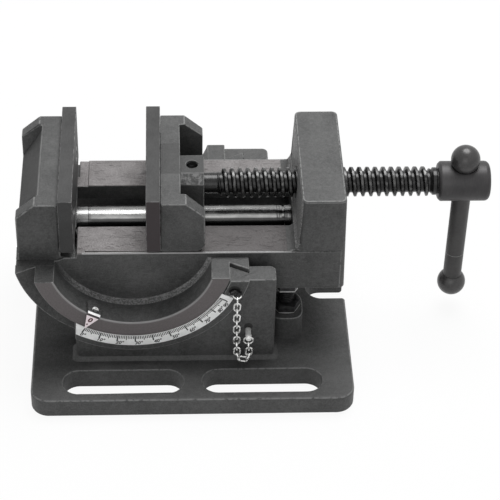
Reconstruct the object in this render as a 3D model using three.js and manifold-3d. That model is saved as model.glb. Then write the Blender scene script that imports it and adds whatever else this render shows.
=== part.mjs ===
// Angle drill press vise with 76 mm jaws: a slotted cast base with two cheeks, and a vise body that
// tilts from 0 to 90 degrees on a dovetailed arc slide. Units are millimetres.
// X runs along the lead screw towards the handle, Y across the jaws with the angle scale on the -Y
// side, and Z is up. The origin is the centre of the base's underside.
import * as THREE from 'three';
import { mergeVertices } from 'three/addons/utils/BufferGeometryUtils.js';
import Module from 'manifold-3d';

const wasm = await Module();
wasm.setup();

// Driving dimensions of the whole vise
const baseLength = 161;
const baseDepth = 162;
const baseThickness = 11.4;
const jawWidth = 76.2;
const jawHeight = 32;
const jawThickness = 7;
const jawOpening = 35.4;
const railTop = 69;
const pivotX = -29.4;
const pivotZ = 77.5;
const screwZ = 83.3;
const screwDiameter = 15;
const handleLength = 81.5;

// Clearances and the overrun of every cut
const overrun = 2;
const weld = 1e-4;
const seat = 0.1;
const slideGap = 0.3;
const turnGap = 0.3;

// Base casting
const baseCorner = 9;
const baseEdge = 1.4;
const slotWidth = 16;
const slotLength = 60;
const slotSpacing = 69.4;
const slotRow = 68;
const endSlotDepth = 20;
const cheekLeft = -58.3;
const cheekRight = 41.1;
const cheekTop = 64.2;
const cheekFace = 52.8;
const cheekThickness = 11.4;
const cheekCorner = 3;
const footFillet = 4;
const footLean = 1.4;
const arcBossRise = 0.9;
const arcBossRim = 0.4;

// Arc slide: radii from the tilt axis
const ringInner = 40.4;
const bearingRadius = 49.3;
const tongueTip = 58.6;
const ringEndTop = 65.6;
const tongueRootDepth = 4.3;
const tongueTipDepth = 9.2;
const arcReach = 80;

// Vise body casting
const bodyHalf = 36.8;
const sideWall = 10;
const railThickness = 9;
const railGap = 32;
const bodyBottom = 44.6;
const fixedJawX = -57.7;
const jawBlockTop = 99.1;
const jawBlockHalf = 35.8;
const jawBlockEdge = 0.9;
const fixedBlockLeft = -85.5;
const blockChamferRun = 9.3;
const blockChamferDrop = 8.2;
const endBlockLeft = 51;
const endBlockRight = 76.2;
const endBlockTop = 100.4;
const endBlockCorner = 2.6;
const endBlockEdge = 0.5;
const endBlockDraft = 2.3;
const rootFillet = 4.5;
const reliefWidth = 4;
const reliefDepth = 0.5;
const webBelow = 52;
const webInset = 2;

// Jaws
const jawBottomGap = 1.8;
const pocketFloor = 75;
const pocketHalfAtWall = 27.4;
const pocketHalfAtEnd = 28.8;
const movingWall = 9.8;
const movingBlockReach = 21.6;
const fixedPocketWall = 10;
const bossHalf = 11.4;
const bossRise = 12.1;
const bossChamfer = 4.3;
const lugDepth = 19;
const lugReach = 18;
const jawScrewSpread = 22;
const jawScrewHead = 9;
const jawScrewHeadHeight = 4;
const jawScrewShank = 5;
const jawScrewLength = 8;
const jawScrewSocket = 4;
const jawScrewSocketDepth = 2.4;

// Guide rod
const rodDiameter = 14.5;
const rodZ = 59.5;
const rodSocket = 10;
const rodGroove = 0.6;
const rodGrooveWidth = 1.2;
const rodGrooveInset = 5;

// Lead screw, its hub and the sliding handle
const neckDiameter = 10.6;
const neckReach = 17;
const neckBack = 8.7;
const threadEnd = 120.8;
const collarDiameter = 14;
const collarLength = 3.2;
const spigotDiameter = 9;
const spigotLength = 6.4;
const grooveWidth = 4;
const grooveDiameter = 7.4;
const hubDiameter = 20.2;
const hubLength = 26;
const hubChamfer = 1.2;
const hubRound = 2.6;
const barDiameter = 9.5;
const ballDiameter = 14.7;
const ballNeck = 5.2;
const setScrewDiameter = 6;
const setScrewSocket = 3;
const setScrewSocketDepth = 1.6;
const dogDiameter = 3.4;
const dogLength = 1.7;
const setScrewSink = 4;

// Angle scale and pointer
const scaleInner = 49.9;
const scaleOuter = 55.8;
const scaleThickness = 0.5;
const scaleStart = -37;
const scaleEnd = 62.6;
const zeroAngle = -29;
const pointerThickness = 0.6;
const pointerWidth = 8;
const pointerTab = 9.6;
const pointerTipRadius = 48.9;
const pointerScrewHead = 4;
const pointerScrewHeadHeight = 1.1;
const pointerScrewShank = 2;
const pointerScrewLength = 4.5;

// Level stop under the right end of the body
const stopX = 48;
const stopY = -28;
const stopBossTop = 25;
const stopBossRadius = 9.6;
const stopBossFoot = 11.4;
const stopThread = 8;
const hexAcross = 13;
const jamNutHeight = 5;
const stopHeadHeight = 4.4;
const stopScrewBottom = 5.5;

// Lock pin, anchor pin and chain
const lockPinRadius = 54;
const lockPinAngle = 67.6;
const lockPinDiameter = 4.2;
const lockPinReach = 5.2;
const lockPinShoulder = 1.2;
const lockTabWidth = 4.6;
const lockEyeOffset = 1.3;
const lockTabThickness = 1.2;
const lockEyeDiameter = 3.5;
const ringHangAngle = 25;
const lockHoleDepth = 4;
const anchorX = 27.8;
const anchorZ = 30.7;
const anchorDiameter = 2.7;
const anchorReach = 5.9;
const anchorDepth = 7;
const anchorEye = 3.2;
const anchorEyeLength = 3;
const anchorRound = 0.5;
const ringRadius = 2.6;
const endRingRadius = 2.3;
const ringWire = 1;
const linkWire = 0.85;
const linkPitch = 3.6;
const linkSlack = 0.1;
const linkWidth = 3.9;
const chainLowZ = 15.3;
const chainBend = 2.5;
const chainLowShare = 0.6;
const chainDropShare = 0.5;

// Tilt lock bolts through the rear cheek
const lockBoltDiameter = 8;
const lockBoltHeadHeight = 5.3;
const lockBoltRadius = 54.6;
const lockBoltAngles = [-18, 46];
const lockBoltTipDiameter = 6;
const lockBoltStandoff = 3;

// Faces on round work
const roundSides = 36;
const smallSides = 18;
const wireSides = 6;
const ballSides = 24;
const loopSteps = 14;
const arcSteps = 32;

// Finishes
const paint = new THREE.MeshStandardMaterial({ color: 0x3f4142, roughness: 0.62, metalness: 0.2 });
const jawSteel = new THREE.MeshStandardMaterial({ color: 0x565656, roughness: 0.4, metalness: 0.8 });
const brightSteel = new THREE.MeshStandardMaterial({ color: 0xb5b5b2, roughness: 0.22, metalness: 1 });
const blackOxide = new THREE.MeshStandardMaterial({ color: 0x2b2b2c, roughness: 0.38, metalness: 0.8 });
const phosphate = new THREE.MeshStandardMaterial({ color: 0x4b494a, roughness: 0.55, metalness: 0.6 });
const plated = new THREE.MeshStandardMaterial({ color: 0xc6c6c4, roughness: 0.25, metalness: 1 });
const aluminium = new THREE.MeshStandardMaterial({ color: 0xd2d3d2, roughness: 0.4, metalness: 0.7 });

// Booleans: a closed three.js geometry becomes a solid, and a solid becomes a geometry again
function solid(geometry) {
  const bare = geometry.clone();
  bare.deleteAttribute('normal');
  bare.deleteAttribute('uv');
  const merged = mergeVertices(bare, weld);
  return new wasm.Manifold(new wasm.Mesh({
    numProp: 3,
    vertProperties: new Float32Array(merged.attributes.position.array),
    triVerts: new Uint32Array(merged.index.array),
  }));
}

function toGeometry(body) {
  const mesh = body.getMesh();
  const geometry = new THREE.BufferGeometry();
  geometry.setAttribute('position', new THREE.BufferAttribute(new Float32Array(mesh.vertProperties), 3));
  geometry.setIndex(new THREE.BufferAttribute(new Uint32Array(mesh.triVerts), 1));
  geometry.computeVertexNormals();
  return geometry;
}

function join(first, ...rest) {
  return rest.reduce((body, next) => body.add(next), first);
}

function cut(body, ...tools) {
  return tools.reduce((left, tool) => left.subtract(tool), body);
}

// Basic forms, each already in its place
function block(x0, x1, y0, y1, z0, z1) {
  const geometry = new THREE.BoxGeometry(x1 - x0, y1 - y0, z1 - z0);
  return solid(geometry.translate((x0 + x1) / 2, (y0 + y1) / 2, (z0 + z1) / 2));
}

function outline(points) {
  return new THREE.Shape(points.map(([a, b]) => new THREE.Vector2(a, b)));
}

// A side view outline of X and Z points, carried from one Y to another, with rounded rims
function across(shape, yFront, yBack, rim = 0) {
  const geometry = new THREE.ExtrudeGeometry(shape, {
    depth: yBack - yFront - 2 * rim,
    bevelEnabled: rim > 0,
    bevelThickness: rim,
    bevelSize: rim,
    bevelOffset: -rim,
    bevelSegments: 2,
    curveSegments: smallSides,
  });
  return solid(geometry.rotateX(Math.PI / 2).translate(0, yBack - rim, 0));
}

// A plan view outline of X and Y points, raised from one Z to another
function raised(shape, z0, z1, rim = 0) {
  const geometry = new THREE.ExtrudeGeometry(shape, {
    depth: z1 - z0 - 2 * rim,
    bevelEnabled: rim > 0,
    bevelThickness: rim,
    bevelSize: rim,
    bevelOffset: -rim,
    bevelSegments: 2,
    curveSegments: 8,
  });
  return solid(geometry.translate(0, 0, z0 + rim));
}

// A turned profile of [radius, distance] points along an axis, from a starting point
const turnedTo = {
  x: (geometry) => geometry.rotateZ(-Math.PI / 2),
  y: (geometry) => geometry,
  z: (geometry) => geometry.rotateX(Math.PI / 2),
};

function turned(axis, profile, x, y, z, sides = roundSides) {
  const points = profile.map(([radius, along]) => new THREE.Vector2(radius, along));
  return solid(turnedTo[axis](new THREE.LatheGeometry(points, sides)).translate(x, y, z));
}

function rod(axis, radius, from, to, a, b, sides = roundSides) {
  const place = { x: [0, a, b], y: [a, 0, b], z: [a, b, 0] }[axis];
  return turned(axis, [[0, from], [radius, from], [radius, to], [0, to]], ...place, sides);
}

function hexagon(axis, acrossFlats, from, to, a, b) {
  return rod(axis, acrossFlats / Math.sqrt(3), from, to, a, b, 6);
}

function sphere(radius, x, z) {
  return solid(new THREE.SphereGeometry(radius, ballSides, ballSides / 2).translate(x, 0, z));
}

// A cast block lofted through rounded rectangles, each { z, x0, x1, y0, y1, r }
function lofted(sections, cornerSteps = 5) {
  const rings = sections.map((s) => {
    const ring = [];
    const corners = [
      [s.x1 - s.r, s.y1 - s.r],
      [s.x0 + s.r, s.y1 - s.r],
      [s.x0 + s.r, s.y0 + s.r],
      [s.x1 - s.r, s.y0 + s.r],
    ];
    corners.forEach(([cx, cy], corner) => {
      for (let step = 0; step <= cornerSteps; step += 1) {
        const angle = (corner + step / cornerSteps) * Math.PI / 2;
        ring.push([cx + s.r * Math.cos(angle), cy + s.r * Math.sin(angle), s.z]);
      }
    });
    return ring;
  });
  return solid(closedRings(rings));
}

// Stacked rings of points, capped at both ends
function closedRings(rings) {
  const count = rings[0].length;
  const positions = rings.flat(2);
  const index = [];
  for (let level = 0; level < rings.length - 1; level += 1) {
    for (let side = 0; side < count; side += 1) {
      const next = (side + 1) % count;
      const a = level * count + side;
      const b = level * count + next;
      index.push(a, b, b + count, a, b + count, a + count);
    }
  }
  const last = (rings.length - 1) * count;
  for (let side = 1; side < count - 1; side += 1) {
    index.push(0, side + 1, side, last, last + side, last + side + 1);
  }
  const geometry = new THREE.BufferGeometry();
  geometry.setAttribute('position', new THREE.Float32BufferAttribute(positions, 3));
  geometry.setIndex(index);
  return geometry;
}

// A convex section of [radius, Y] points swept round the tilt axis; angles run from straight down
// towards +X, in degrees
function arcSweep(section, from, to, steps = arcSteps) {
  const rings = [];
  for (let step = 0; step <= steps; step += 1) {
    const angle = THREE.MathUtils.degToRad(from + (to - from) * step / steps);
    rings.push(section.map(([radius, y]) => [
      pivotX + radius * Math.sin(angle), y, pivotZ - radius * Math.cos(angle),
    ]));
  }
  const body = solid(closedRings(rings));
  return body.volume() > 0 ? body : solid(closedRings(rings.reverse()));
}

function arcPoint(radius, degrees) {
  const angle = THREE.MathUtils.degToRad(degrees);
  return [pivotX + radius * Math.sin(angle), pivotZ - radius * Math.cos(angle)];
}

function mirroredInY(body) {
  return body.scale([1, -1, 1]);
}

// A closed loop of wire through a centreline of points with its outward directions and a flat normal
function wireLoop(count, pointAt, normal, radius) {
  const positions = [];
  const index = [];
  for (let step = 0; step < count; step += 1) {
    const { point, outward } = pointAt(step / count);
    for (let side = 0; side < wireSides; side += 1) {
      const angle = side / wireSides * 2 * Math.PI;
      const place = point.clone()
        .addScaledVector(outward, radius * Math.cos(angle))
        .addScaledVector(normal, radius * Math.sin(angle));
      positions.push(place.x, place.y, place.z);
      const nextStep = (step + 1) % count;
      const nextSide = (side + 1) % wireSides;
      const a = step * wireSides + side;
      const b = step * wireSides + nextSide;
      const c = nextStep * wireSides + nextSide;
      const d = nextStep * wireSides + side;
      index.push(a, b, c, a, c, d);
    }
  }
  const geometry = new THREE.BufferGeometry();
  geometry.setAttribute('position', new THREE.Float32BufferAttribute(positions, 3));
  geometry.setIndex(index);
  const body = solid(geometry);
  if (body.volume() > 0) {
    return body;
  }
  return solid(geometry.setIndex(index.reverse()));
}

// Every named piece goes into this group
const vise = new THREE.Group();
vise.name = 'angle_drill_press_vise';

function addPiece(parent, name, body, material) {
  const mesh = new THREE.Mesh(toGeometry(body), material);
  mesh.name = name;
  parent.add(mesh);
}

const tiltingBody = new THREE.Group();
const movingJawGroup = new THREE.Group();
const base = new THREE.Group();
vise.add(base, tiltingBody);
tiltingBody.add(movingJawGroup);

// Base casting: a slotted plate, two cheeks with the dovetail arc, and the level stop's boss
function slot(x0, x1, y) {
  const radius = slotWidth / 2;
  const shape = new THREE.Shape();
  shape.absarc(x1 - radius, y, radius, -Math.PI / 2, Math.PI / 2);
  shape.absarc(x0 + radius, y, radius, Math.PI / 2, 3 * Math.PI / 2);
  return raised(shape, -overrun, baseThickness + overrun);
}

// Half the dovetail: how far the tongue's sloping face stands out of the body's side at a radius
function tongueDepth(radius) {
  const slope = (tongueTipDepth - tongueRootDepth) / (tongueTip - bearingRadius);
  return tongueRootDepth + slope * (radius - bearingRadius);
}

function slidSection(gap) {
  const rootRadius = bearingRadius - overrun;
  const tipRadius = tongueTip + gap;
  return [
    [rootRadius, overrun - bodyHalf],
    [rootRadius, -bodyHalf - tongueDepth(rootRadius) - gap],
    [tipRadius, -bodyHalf - tongueDepth(tipRadius) - gap],
    [tipRadius, overrun - bodyHalf],
  ];
}

function makeCheek() {
  const halfFace = cheekFace - arcBossRise;
  const inner = cheekFace - cheekThickness;
  const foot = {
    z: baseThickness,
    x0: cheekLeft - footFillet,
    x1: cheekRight + footFillet,
    y0: -cheekFace - footLean,
    y1: -inner + footLean,
    r: cheekCorner,
  };
  const upright = lofted([
    { ...foot, z: baseThickness - overrun },
    foot,
    {
      z: baseThickness + footFillet,
      x0: cheekLeft, x1: cheekRight, y0: -cheekFace, y1: -inner, r: cheekCorner,
    },
    { z: cheekTop, x0: cheekLeft, x1: cheekRight, y0: -halfFace, y1: -inner, r: cheekCorner },
  ]);
  const arcBoss = arcSweep([
    [bearingRadius, -cheekFace],
    [bearingRadius, -inner - overrun],
    [tongueTip + arcBossRim, -inner - overrun],
    [tongueTip + arcBossRim, -cheekFace],
  ], scaleStart - overrun, arcReach);
  const bossWindow = block(
    cheekLeft, cheekRight, -cheekFace - overrun, -inner + overrun, baseThickness, cheekTop,
  );
  const pastFillet = footFillet + overrun;
  const bearing = rod(
    'y', bearingRadius + slideGap, -cheekFace - pastFillet, pastFillet - inner,
    pivotX, pivotZ, 2 * roundSides,
  );
  return cut(
    join(upright, arcBoss.intersect(bossWindow)),
    bearing,
    arcSweep(slidSection(slideGap), -arcReach - overrun, arcReach + overrun),
  );
}

const [lockPinX, lockPinZ] = arcPoint(lockPinRadius, lockPinAngle);
const beforeCheek = -cheekFace - overrun;
const frontCheek = cut(
  makeCheek(),
  rod('y', lockPinDiameter / 2 + seat, beforeCheek, -bodyHalf, lockPinX, lockPinZ, smallSides),
  rod('y', anchorDiameter / 2 + seat, beforeCheek, anchorDepth - cheekFace, anchorX, anchorZ, smallSides),
);
const lockBoltPlaces = lockBoltAngles.map((degrees) => arcPoint(lockBoltRadius, degrees));
const rearCheek = cut(
  mirroredInY(makeCheek()),
  ...lockBoltPlaces.map(([x, z]) => rod(
    'y', lockBoltDiameter / 2 + seat, bodyHalf, cheekFace + footFillet, x, z, smallSides,
  )),
);

const halfLength = baseLength / 2;
const halfDepth = baseDepth / 2;
const basePlate = raised((() => {
  const shape = new THREE.Shape();
  const corners = [[1, -1], [1, 1], [-1, 1], [-1, -1]];
  corners.forEach(([sx, sy], corner) => {
    const start = (corner - 1) * Math.PI / 2;
    const centreX = sx * (halfLength - baseCorner);
    const centreY = sy * (halfDepth - baseCorner);
    shape.absarc(centreX, centreY, baseCorner, start, start + Math.PI / 2);
  });
  return shape;
})(), 0, baseThickness, baseEdge);

const slots = [-1, 1].flatMap((side) => [-1, 1].map((end) => {
  const centre = end * slotSpacing / 2;
  return slot(centre - slotLength / 2, centre + slotLength / 2, side * slotRow);
}));
const endSlots = [
  slot(halfLength - endSlotDepth, halfLength + slotWidth, 0),
  slot(-halfLength - slotWidth, endSlotDepth - halfLength, 0),
];
const stopBoss = turned('z', [
  [0, baseThickness - overrun],
  [stopBossFoot, baseThickness - overrun],
  [stopBossFoot, baseThickness],
  [stopBossRadius, baseThickness + stopBossFoot - stopBossRadius],
  [stopBossRadius, stopBossTop],
  [0, stopBossTop],
], stopX, stopY, 0);
const stopBore = rod(
  'z', stopThread / 2 + slideGap, -overrun, stopBossTop + overrun, stopX, stopY, smallSides,
);
addPiece(base, 'base_casting', cut(
  join(basePlate, frontCheek, rearCheek, stopBoss),
  ...slots, ...endSlots, stopBore,
), paint);

// Angle scale: a thin silver plate on the front cheek's arc boss
const scaleFront = -cheekFace - seat - scaleThickness;
const scaleBlank = arcSweep([
  [scaleInner, scaleFront],
  [scaleInner, -cheekFace - seat],
  [scaleOuter, -cheekFace - seat],
  [scaleOuter, scaleFront],
], scaleStart, scaleEnd);
const scaleWindow = block(
  cheekLeft, cheekRight, scaleFront - overrun, overrun - cheekFace, baseThickness, cheekTop,
);
addPiece(base, 'scale_plate', scaleBlank.intersect(scaleWindow), aluminium);

// Level stop: a hexagon head screw that the body's underside rests on, and its jam nut
const stopHeadTop = bodyBottom - slideGap;
const stopHeadBottom = stopHeadTop - stopHeadHeight;
const jamNutBottom = stopBossTop + seat;
addPiece(base, 'level_stop_screw', join(
  hexagon('z', hexAcross, stopHeadBottom, stopHeadTop, stopX, stopY),
  rod('z', stopThread / 2, stopScrewBottom, stopHeadBottom + seat, stopX, stopY, smallSides),
), blackOxide);
addPiece(base, 'level_jam_nut', cut(
  hexagon('z', hexAcross, jamNutBottom, jamNutBottom + jamNutHeight, stopX, stopY),
  rod(
    'z', stopThread / 2 + slideGap, jamNutBottom - overrun, jamNutBottom + jamNutHeight + overrun,
    stopX, stopY, smallSides,
  ),
), blackOxide);

// Tilt lock bolts: screwed through the rear cheek against the slope of the tongue
lockBoltPlaces.forEach(([x, z], number) => {
  const tip = bodyHalf + tongueDepth(lockBoltRadius + lockBoltTipDiameter / 2) + slideGap;
  const headStart = cheekFace + lockBoltStandoff;
  addPiece(base, `tilt_lock_bolt_${number + 1}`, join(
    rod('y', lockBoltTipDiameter / 2, tip, tip + overrun, x, z, smallSides),
    rod('y', lockBoltDiameter / 2, tip + overrun - seat, headStart + seat, x, z, smallSides),
    hexagon('y', hexAcross, headStart, headStart + lockBoltHeadHeight, x, z),
  ), blackOxide);
});

// Lock pin for the level position, drawn back clear of the body: its outer end is a flat tab whose
// eye carries the split ring
const lockPinTip = -bodyHalf - tongueDepth(lockPinRadius + lockPinDiameter / 2) - slideGap;
const tabFront = -cheekFace - lockPinReach;
const eyeY = tabFront + lockTabWidth / 2;
const eyeX = lockPinX + lockEyeOffset;
const lockTab = block(
  lockPinX - lockPinDiameter / 2, eyeX + lockTabWidth / 2,
  eyeY, -cheekFace - seat, lockPinZ - lockTabThickness / 2, lockPinZ + lockTabThickness / 2,
);
const lockTabNose = rod(
  'z', lockTabWidth / 2, lockPinZ - lockTabThickness / 2, lockPinZ + lockTabThickness / 2,
  eyeX, eyeY, smallSides,
);
addPiece(base, 'lock_pin', cut(
  join(
    rod('y', lockPinDiameter / 2, -cheekFace - lockPinShoulder, lockPinTip, lockPinX, lockPinZ, smallSides),
    lockTab,
    lockTabNose,
  ),
  rod('z', lockEyeDiameter / 2, lockPinZ - overrun, lockPinZ + overrun, eyeX, eyeY, smallSides),
), blackOxide);

const ringHang = THREE.MathUtils.degToRad(ringHangAngle);
const ringCentre = new THREE.Vector3(
  eyeX, eyeY - ringRadius * Math.cos(ringHang), lockPinZ - ringRadius * Math.sin(ringHang),
);
addPiece(base, 'lock_pin_ring', wireLoop(loopSteps, (share) => {
  const angle = share * 2 * Math.PI;
  const outward = new THREE.Vector3(0, Math.cos(angle), Math.sin(angle));
  return { point: ringCentre.clone().addScaledVector(outward, ringRadius), outward };
}, new THREE.Vector3(1, 0, 0), ringWire / 2), plated);

// Anchor pin: a plated pin in the cheek, its thicker end cross drilled for the chain's jump ring, whose
// wire sags by ringSag inside the hole
const anchorTip = -cheekFace - anchorReach;
const anchorEyeY = anchorTip + anchorEyeLength / 2;
const ringSag = endRingRadius - Math.sqrt(endRingRadius ** 2 - (anchorEye / 2) ** 2);
const anchorHole = (linkWire + ringSag) / 2 + 2 * seat;
addPiece(base, 'chain_anchor_pin', cut(
  turned('y', [
    [0, anchorTip],
    [anchorEye / 2 - anchorRound, anchorTip],
    [anchorEye / 2, anchorTip + anchorRound],
    [anchorEye / 2, anchorTip + anchorEyeLength],
    [anchorDiameter / 2, anchorTip + anchorEyeLength],
    [anchorDiameter / 2, anchorDepth - cheekFace - slideGap],
    [0, anchorDepth - cheekFace - slideGap],
  ], anchorX, 0, anchorZ, smallSides),
  rod('x', anchorHole, anchorX - anchorEye, anchorX + anchorEye, anchorEyeY, anchorZ, smallSides),
), plated);

// Chain: a jump ring through the anchor pin, and welded oval links hanging in a loop between the
// rings. Neighbouring links cross at a joint, each end bar lying half a wire and half a gap past it
const endRingCentre = new THREE.Vector3(anchorX, anchorEyeY, anchorZ + ringSag / 2 - endRingRadius);
addPiece(base, 'chain_end_ring', wireLoop(loopSteps, (share) => {
  const angle = share * 2 * Math.PI;
  const outward = new THREE.Vector3(Math.cos(angle), 0, Math.sin(angle));
  return { point: endRingCentre.clone().addScaledVector(outward, endRingRadius), outward };
}, new THREE.Vector3(0, 1, 0), linkWire / 2), plated);

const chainTop = ringCentre.clone();
chainTop.z += ((ringWire + linkWire) / 2 + slideGap) / 2 - ringRadius;
const chainEnd = endRingCentre.clone();
chainEnd.z += (linkWire + slideGap) / 2 - endRingRadius;
const chainLow = new THREE.Vector3(
  chainTop.x + chainLowShare * (chainEnd.x - chainTop.x), (chainTop.y + chainEnd.y) / 2, chainLowZ,
);
const route = new THREE.CatmullRomCurve3([
  chainTop,
  chainTop.clone().lerp(new THREE.Vector3(chainTop.x, chainLow.y, chainLow.z), chainDropShare),
  new THREE.Vector3(chainLow.x - chainBend, chainLow.y, chainLow.z + chainBend),
  chainLow,
  new THREE.Vector3(chainLow.x + chainBend, chainLow.y, chainLow.z + chainBend),
  chainEnd,
], false, 'centripetal');
const linkCount = 2 * Math.round(route.getLength() / linkPitch / 2);
const linkLength = linkPitch + 2 * linkWire + slideGap + linkSlack;
const straight = (linkLength - linkWidth) / 2;
const bend = (linkWidth - linkWire) / 2;
const joints = Array.from(
  { length: linkCount + 1 },
  (_, number) => route.getPointAt(number / linkCount),
);
for (let number = 0; number < linkCount; number += 1) {
  const centre = joints[number].clone().lerp(joints[number + 1], 0.5);
  const tangent = joints[number + 1].clone().sub(joints[number]).normalize();
  const side = new THREE.Vector3(0, 1, 0).cross(tangent).normalize();
  const depthWise = tangent.clone().cross(side).normalize();
  const [wide, flat] = number % 2 === 0 ? [side, depthWise] : [depthWise, side];
  const body = wireLoop(loopSteps, (share) => {
    const angle = (share + 0.5 / loopSteps) * 2 * Math.PI;
    const end = Math.cos(angle) >= 0 ? 1 : -1;
    const outward = tangent.clone().multiplyScalar(Math.cos(angle)).addScaledVector(wide, Math.sin(angle));
    const point = centre.clone().addScaledVector(tangent, end * straight).addScaledVector(outward, bend);
    return { point, outward };
  }, flat, linkWire / 2);
  addPiece(base, `chain_link_${String(number + 1).padStart(2, '0')}`, body, plated);
}

// Vise body casting: two side walls with the arc rings, the rails, the fixed jaw and the end block
const gapHalf = railGap / 2;
const ringSection = [
  [ringInner, -bodyHalf + overrun],
  [ringInner, -cheekFace],
  [bearingRadius, -cheekFace],
  [bearingRadius, -bodyHalf + overrun],
];

function makeSide() {
  const disc = rod('y', tongueTip, -bodyHalf, -bodyHalf + sideWall, pivotX, pivotZ, 2 * roundSides);
  const ring = arcSweep(ringSection, -arcReach, arcReach);
  const tongue = arcSweep(slidSection(0), -arcReach, arcReach);
  const above = block(
    pivotX - 2 * tongueTip, pivotX + 2 * tongueTip, -cheekFace - overrun, 0,
    ringEndTop, pivotZ + 2 * tongueTip,
  );
  const wall = block(
    fixedBlockLeft, endBlockRight - endBlockDraft, -bodyHalf, -bodyHalf + sideWall, bodyBottom, railTop,
  );
  const leftOfDisc = arcSweep([
    [tongueTip, -bodyHalf - overrun],
    [tongueTip, -bodyHalf + sideWall + overrun],
    [2 * tongueTip, -bodyHalf + sideWall + overrun],
    [2 * tongueTip, -bodyHalf - overrun],
  ], -arcReach + overrun, 0);
  const wallAndDisc = join(cut(wall, leftOfDisc), cut(disc, above));
  return join(wallAndDisc, cut(join(ring, tongue), above));
}

const rails = [-1, 1].map((side) => {
  const [y0, y1] = side < 0 ? [-bodyHalf, -gapHalf] : [gapHalf, bodyHalf];
  return block(
    fixedJawX - jawThickness, endBlockLeft + rootFillet, y0, y1, railTop - railThickness, railTop,
  );
});

function chamferedBlock(backX, endX, chamferRun, z0) {
  const direction = Math.sign(endX - backX);
  return outline([
    [backX, z0],
    [endX, z0],
    [endX, jawBlockTop - blockChamferDrop],
    [endX - direction * chamferRun, jawBlockTop],
    [backX, jawBlockTop],
  ]);
}

const fixedBack = fixedJawX - jawThickness - seat;
const fixedBlock = across(
  chamferedBlock(fixedBack, fixedBlockLeft, blockChamferRun, ringEndTop - overrun),
  -jawBlockHalf, jawBlockHalf, jawBlockEdge,
);
const webHalf = bodyHalf - webInset;
const fixedWeb = block(
  fixedBlockLeft + webInset, fixedJawX - jawThickness, -webHalf, webHalf, webBelow, railTop,
);
const fixedPlinth = block(
  fixedBlockLeft + jawBlockEdge, fixedJawX, -bodyHalf, bodyHalf,
  ringEndTop - overrun, railTop - reliefDepth,
);

// The pocket behind the fixed jaw: open to the left and above, with a sloping floor
function pocketPlan(wallX, endX) {
  const past = (endX - wallX) / Math.abs(endX - wallX) * overrun;
  const slope = (pocketHalfAtEnd - pocketHalfAtWall) / Math.abs(endX - wallX);
  const mouth = pocketHalfAtEnd + slope * overrun;
  return outline([
    [wallX, -pocketHalfAtWall],
    [endX + past, -mouth],
    [endX + past, mouth],
    [wallX, pocketHalfAtWall],
  ]);
}

const fixedPocketX = fixedBack - fixedPocketWall;
const fixedPocket = raised(pocketPlan(fixedPocketX, fixedBlockLeft), pocketFloor, jawBlockTop + overrun)
  .intersect(across(outline([
    [fixedPocketX, jawBlockTop - overrun],
    [fixedBlockLeft - overrun, pocketFloor],
    [fixedBlockLeft - overrun, jawBlockTop + 2 * overrun],
    [fixedPocketX, jawBlockTop + 2 * overrun],
  ]), -jawBlockHalf, jawBlockHalf));

// End block with draft on every face and rounded corners
function endBlockSection(z, inset = 0) {
  const share = (z - bodyBottom) / (endBlockTop - bodyBottom);
  const draft = endBlockDraft * share;
  return {
    z,
    x0: endBlockLeft + draft + inset,
    x1: endBlockRight - draft / 2 - inset,
    y0: -bodyHalf + draft / 2 + inset,
    y1: bodyHalf - draft / 2 - inset,
    r: endBlockCorner,
  };
}

const endBlock = lofted([
  endBlockSection(bodyBottom),
  endBlockSection(railTop),
  endBlockSection(endBlockTop - endBlockEdge),
  endBlockSection(endBlockTop, endBlockEdge),
]);
const filletX = endBlockLeft + endBlockDraft / 2;
const rootShape = new THREE.Shape();
rootShape.moveTo(filletX + overrun, railTop - overrun);
rootShape.lineTo(filletX + overrun, railTop + rootFillet);
rootShape.lineTo(filletX, railTop + rootFillet);
rootShape.absarc(filletX - rootFillet, railTop + rootFillet, rootFillet, 0, -Math.PI / 2, true);
rootShape.lineTo(filletX - rootFillet, railTop - overrun);
const endFillet = across(rootShape, -bodyHalf + jawBlockEdge, bodyHalf - jawBlockEdge);

const reliefCut = block(
  fixedJawX - seat, fixedJawX + reliefWidth,
  -bodyHalf - overrun, bodyHalf + overrun,
  railTop - reliefDepth, railTop + overrun,
);
const rodLeft = fixedJawX - jawThickness - rodSocket;
const rodRight = endBlockLeft + rodSocket;
const rodBore = rod('x', rodDiameter / 2 + seat, rodLeft - slideGap, rodRight + slideGap, 0, rodZ);
const screwBore = rod(
  'x', screwDiameter / 2 + turnGap, endBlockLeft - rootFillet - overrun, endBlockRight + overrun, 0, screwZ,
);
const gapCut = block(
  fixedJawX - seat, filletX - rootFillet,
  -gapHalf, gapHalf,
  railTop - railThickness - overrun, railTop + rootFillet,
);
const lockHole = rod(
  'y', lockPinDiameter / 2 + turnGap, -bodyHalf - tongueTipDepth, -bodyHalf + lockHoleDepth,
  lockPinX, lockPinZ, smallSides,
);

const jawScrewPlaces = [-jawScrewSpread, jawScrewSpread];
const plateBottom = railTop + jawBottomGap;
const plateTop = plateBottom + jawHeight;
const jawScrewZ = (plateBottom + jawBlockTop) / 2;
const shankBore = jawScrewShank / 2 + slideGap;
const fixedScrewBores = jawScrewPlaces.map((y) => rod(
  'x', shankBore, fixedBack - jawScrewLength, fixedBack + overrun, y, jawScrewZ, smallSides,
));
const [pointerX, pointerZ] = arcPoint(ringInner, zeroAngle);

addPiece(tiltingBody, 'body_casting', cut(
  join(
    makeSide(), mirroredInY(makeSide()), ...rails,
    fixedBlock, fixedWeb, fixedPlinth, endBlock, endFillet,
  ),
  fixedPocket, reliefCut, rodBore, screwBore, gapCut, lockHole, ...fixedScrewBores, pointerScrewBore(),
), paint);

// Pointer: a bent strip screwed to the top of the front ring, its tip on the scale
function atPointer(geometry) {
  const turn = -THREE.MathUtils.degToRad(zeroAngle);
  return geometry.rotateY(turn).translate(pointerX, 0, pointerZ);
}

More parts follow.
